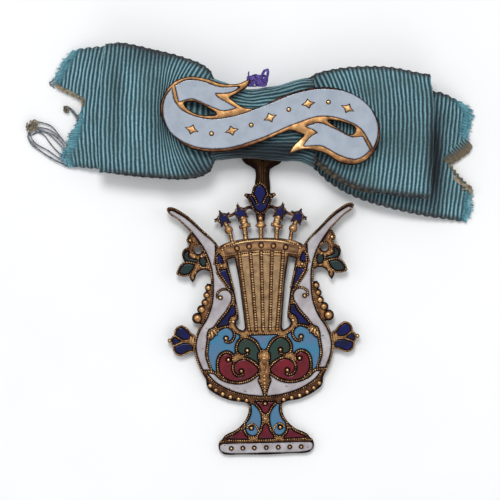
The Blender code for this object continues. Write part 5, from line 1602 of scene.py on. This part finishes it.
# %% Torn fringes and rolled hems
TORN_ROWS = ((0, 50, 84), (0, 112, 167), (1, 100, 139), (1, 190, 217))  # side, first and last row
FRINGE_STEP, FRINGE_ROOT = 0.8, 4
HEMS = [
    [(54, 82), (60, 86.5), (68, 90), (76, 94), (83, 98)],
    [(55, 84.6), (62, 88.6), (70, 92.4), (78, 96.4), (84, 100)],
    [(84.5, 99), (82.5, 106), (80.5, 113), (79, 119)],
    [(85.8, 100), (84, 107), (82, 114), (80, 121)],
    [(438, 163), (442, 162), (446, 165), (450, 170.6), (457, 177.6), (464, 184), (470, 187)],
    [(440, 161), (445, 166.4), (450, 172.6), (456, 178.6), (462, 184)],
    [(463, 186), (467, 184), (471.6, 186.4), (472.4, 191), (470, 194)],
    [(462, 189), (466, 188), (470, 189), (471, 192)],
]
fringe = []
for side, first, last in TORN_ROWS:
    for row in np.arange(first, last, FRINGE_STEP):
        root = np.interp(row, *ENDS[side].T) - OUTWARD[side] * FRINGE_ROOT
        reach, drift = chance.uniform(3.5, 7.5), chance.uniform(-1.5, 1.5)
        fringe.append([seen_at(root + OUTWARD[side] * reach * t, row + drift * t * t, (1.1 - 0.75 * t) * MM)
                       for t in (0, 0.4, 0.75, 1)])
threads("torn_fringe", fringe, 0.085, thread_finish("turquoise warp", (40, 112, 130), (128, 186, 196)))
hem_runs = [[seen_at(c, r, (1.15 + 0.12 * math.sin(2.3 * k + n)) * MM) for k, (c, r) in enumerate(run)]
            for n, run in enumerate(HEMS)]
threads("rolled_hems", hem_runs, 0.27, thread_finish("rolled hem", (84, 70, 54), (160, 148, 122)), 8)
print(len(fringe), "torn ends and", len(HEMS), "rolls of hem")

# %% [markdown]
# ## The rolled flap and the gathered edge
#
# One corner of the right tail's fork has rolled up towards the viewer. It is laid rib by rib
# like the tails, over places that rise and fall across it. Under the right loop the selvedge
# is drawn together into soiled lumps over a dark cord, as a thread pulled tight in an edge
# does. The lumps are stretched balls that lean one way and get smaller along the edge.

# %% Rolled flap and gathered edge
FLAP = (((441.5, 156), (447.5, 162.4)), ((449, 149), (455.6, 160)), ((457, 144), (463.4, 154.6)),
        ((463, 140), (469.4, 150)), ((467, 138), (472.6, 143.6)))
FLAP_RIBS, FLAP_THICK = 11, 0.5 * MM
EDGE_LINE = [(309, 154), (316, 161.5), (325, 169.5), (334, 177), (345, 183.6), (358, 189), (372, 192.4)]
EDGE_STEP, EDGE_LUMP, EDGE_LEAN = 1.35 * MM, (0.82, 0.62, 0.56), math.radians(38)
EDGE_HEIGHT, CORD_SINK = FRONT_LAYER + 0.5 * MM, 0.2 * MM


def rolled_flap():
    """The corner of the right tail's fork, rolled up towards the viewer and wrinkled."""
    across, ribs = np.linspace(0, 1, 13), np.linspace(0, FLAP_RIBS, 89)
    inner, outer = (rib_line(edge, (0, FLAP_RIBS))(ribs)[:, None] for edge in zip(*FLAP))
    flat = inner * (1 - across)[None, :, None] + outer * across[None, :, None]
    rise = 0.75 + 0.95 * np.sin(np.pi * across)[None, :] ** 0.8 + 0.12 * np.sin(4 * ribs)[:, None] * across
    hem = np.clip(1.7 * across - 0.3, 0, 1)[None, :]
    ribs = ribs[:, None] + 0.25 * np.sin(5 * across)[None, :]
    skin("rolled_flap", lifted(flat, rise * MM), ribs, across, False, 0, hem, 0.0, thickness=FLAP_THICK)


def gathered_lumps(line):
    """Sites for the lumps of a gathered edge, each smaller than the one before it."""
    places = list(headings(spaced(line, EDGE_STEP, closed=False)))
    for k, (place, turn) in enumerate(places):
        share = (1 - 0.35 * k / len(places)) * (1 + 0.12 * math.sin(5 * k))
        lean = turn + EDGE_LEAN + 0.3 * math.sin(3 * k)
        yield flat_lump(place, EDGE_HEIGHT, [side * share for side in EDGE_LUMP], lean)


rolled_flap()
edge_line = flowing([seen_at(c, r) for c, r in EDGE_LINE], 0.5 * MM, closed=False)
threads("gathered_cord", [[p + Vector((0, 0, EDGE_HEIGHT - CORD_SINK)) for p in edge_line]], 0.42,
        thread_finish("blackened cord", (10, 12, 16), (24, 26, 28), 0.0), 8)
lumps("gathered_edge", BALL, list(gathered_lumps(edge_line)),
      thread_finish("soiled selvedge", (16, 15, 16), (84, 72, 50), 0.05), "ribbon", None)
print("Right loop's gathered edge at", round(EDGE_HEIGHT / MM, 1), "mm")

# %% [markdown]
# ## The tuft of sewing thread
#
# A tuft of purple thread is left at the top of the knot, where the scroll was sewn on. Cut
# ends of sewing thread spring into curls that lie over each other in no order, so the curls
# are drawn by lot over a small patch. Only the three long ends are placed.

# %% Tuft of sewing thread
LONG_ENDS = (
    ((259, 84, 8.2), (260.8, 77.4, 8.4), (263.9, 71.6, 8.6), (268, 70.4, 8.8), (268.6, 73, 8.7),
     (267.6, 79, 8.4), (265.4, 86, 8.2)),
    ((261, 85, 8.3), (262, 78, 8.5), (264.6, 72.6, 8.7), (267.4, 71.8, 8.8), (267.2, 75, 8.7),
     (265.4, 81, 8.4), (263, 86, 8.2)),
    ((252, 83, 8.3), (249.6, 78.6, 8.5), (248.2, 75.4, 8.7), (249.2, 72.6, 8.6)))
tuft = curls(44, 257, 82, (7.5, 4.2), (7.6, 8.8), (2.0, 4.0))
tuft += [[seen_at(c, r, h * MM) for c, r, h in run] for run in LONG_ENDS]
threads("sewing_thread", tuft, 0.17, thread_finish("purple sewing thread", (44, 26, 104), (104, 76, 172)))
print(len(tuft), "curls and ends of sewing thread")

# %% [markdown]
# ## The ground
#
# The badge lies on a white ground with a faint tooth, like matt board. One large flat face
# is enough for it. It lies a hair below the badge, so that no two faces share one place.

# %% Floor
GROUND_REACH, GROUND_LEVEL = 1.5, -0.02 * MM


def white_ground():
    """Matt white board with a faint tooth."""
    made, tree, surface, place = new_finish("white ground", Roughness=0.9, Specular_IOR_Level=0.1)
    clouds = noise(tree, 30.0, 2.0, place)
    tone = ramp(tree, clouds, (0.3, (0.93, 0.93, 0.93, 1)), (0.7, (0.96, 0.96, 0.96, 1)))
    tree.links.new(tone, surface.inputs["Base Color"])
    relief_from(tree, surface, noise(tree, 2500.0, 2.0, place), 0.05, 0.02 * MM)
    return made


ground = [(u * GROUND_REACH, v * GROUND_REACH, GROUND_LEVEL) for u, v in ((-1, -1), (1, -1), (1, 1), (-1, 1))]
floor = bpy.data.objects.new("floor", mesh_of("floor", ground, [(0, 1, 2, 3)]))
bpy.context.scene.collection.objects.link(floor)
floor.data.materials.append(white_ground())
floor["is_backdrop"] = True
print("Ground", 2 * GROUND_REACH, "m wide")

# %% [markdown]
# ## The light
#
# The badge was photographed under one broad soft light from above its upper edge, so that
# its shadow falls softly towards the foot. A soft box gives that light, three weaker fills
# open the shadows, and a pale surround gives the metal something to mirror.

# %% Light
LIGHTS = (  # name, place, side, power
    ("broad soft box", (-0.08, 0.37, 0.8), 0.3, 3.7),
    ("fill from the foot", (0.1, -0.6, 0.45), 0.5, 0.8),
    ("fill from the left", (-0.6, 0.05, 0.45), 0.5, 0.85),
    ("fill from the right", (0.6, 0.0, 0.45), 0.5, 0.7),
)
for name, place, size, power in LIGHTS:
    lamp = bpy.data.lights.new(name, "AREA")
    lamp.size, lamp.energy = size, power
    box = bpy.data.objects.new(name, lamp)
    box.location = place
    box.rotation_euler = (-Vector(place)).to_track_quat("-Z", "Y").to_euler()
    bpy.context.scene.collection.objects.link(box)
world = bpy.data.worlds.new("studio")
bpy.context.scene.world = world
world.use_nodes = True
surround = world.node_tree.nodes["Background"].inputs
surround["Color"].default_value, surround["Strength"].default_value = (0.95, 0.97, 1.0, 1), 0.44
bpy.context.scene.view_settings.view_transform = "Standard"
print(len(LIGHTS), "lights")

# %% [markdown]
# ## The camera
#
# The photograph was taken from straight above. A long lens keeps the outlines as flat as
# there, and two degrees of tilt show a little of the edges that face the foot. The focal
# length follows from the distance, so that the frame is as wide as the photograph's 500 pixels.

# %% Camera
VIEW_ELEVATION, VIEW_DISTANCE, FILM, PHOTO_WIDTH = math.radians(88), 0.9, 36, 500
lens = bpy.data.cameras.new("long lens")
lens.sensor_width = FILM
lens.lens = FILM * VIEW_DISTANCE / (PHOTO_WIDTH * PIXEL)
lens.clip_start, lens.clip_end = 0.01, 10
camera = bpy.data.objects.new("camera", lens)
target = seen_at(PHOTO_WIDTH / 2, PHOTO_WIDTH / 2, 4 * MM)
camera.location = target + VIEW_DISTANCE * Vector((0, -math.cos(VIEW_ELEVATION), math.sin(VIEW_ELEVATION)))
camera.rotation_euler = (math.pi / 2 - VIEW_ELEVATION, 0, 0)
bpy.context.scene.collection.objects.link(camera)
bpy.context.scene.camera = camera
print("Lens", round(lens.lens), "mm")

# %% [markdown]
# ## Sizes
# The box of the dressed badge is measured and printed.
# The dressed badge has to keep the CAD model's size.

# %% Sizes and finish
VISUAL_BOX = [[float(value) for value in corner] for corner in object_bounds()]
print("Dressed box", [[round(v / MM, 1) for v in corner] for corner in VISUAL_BOX])
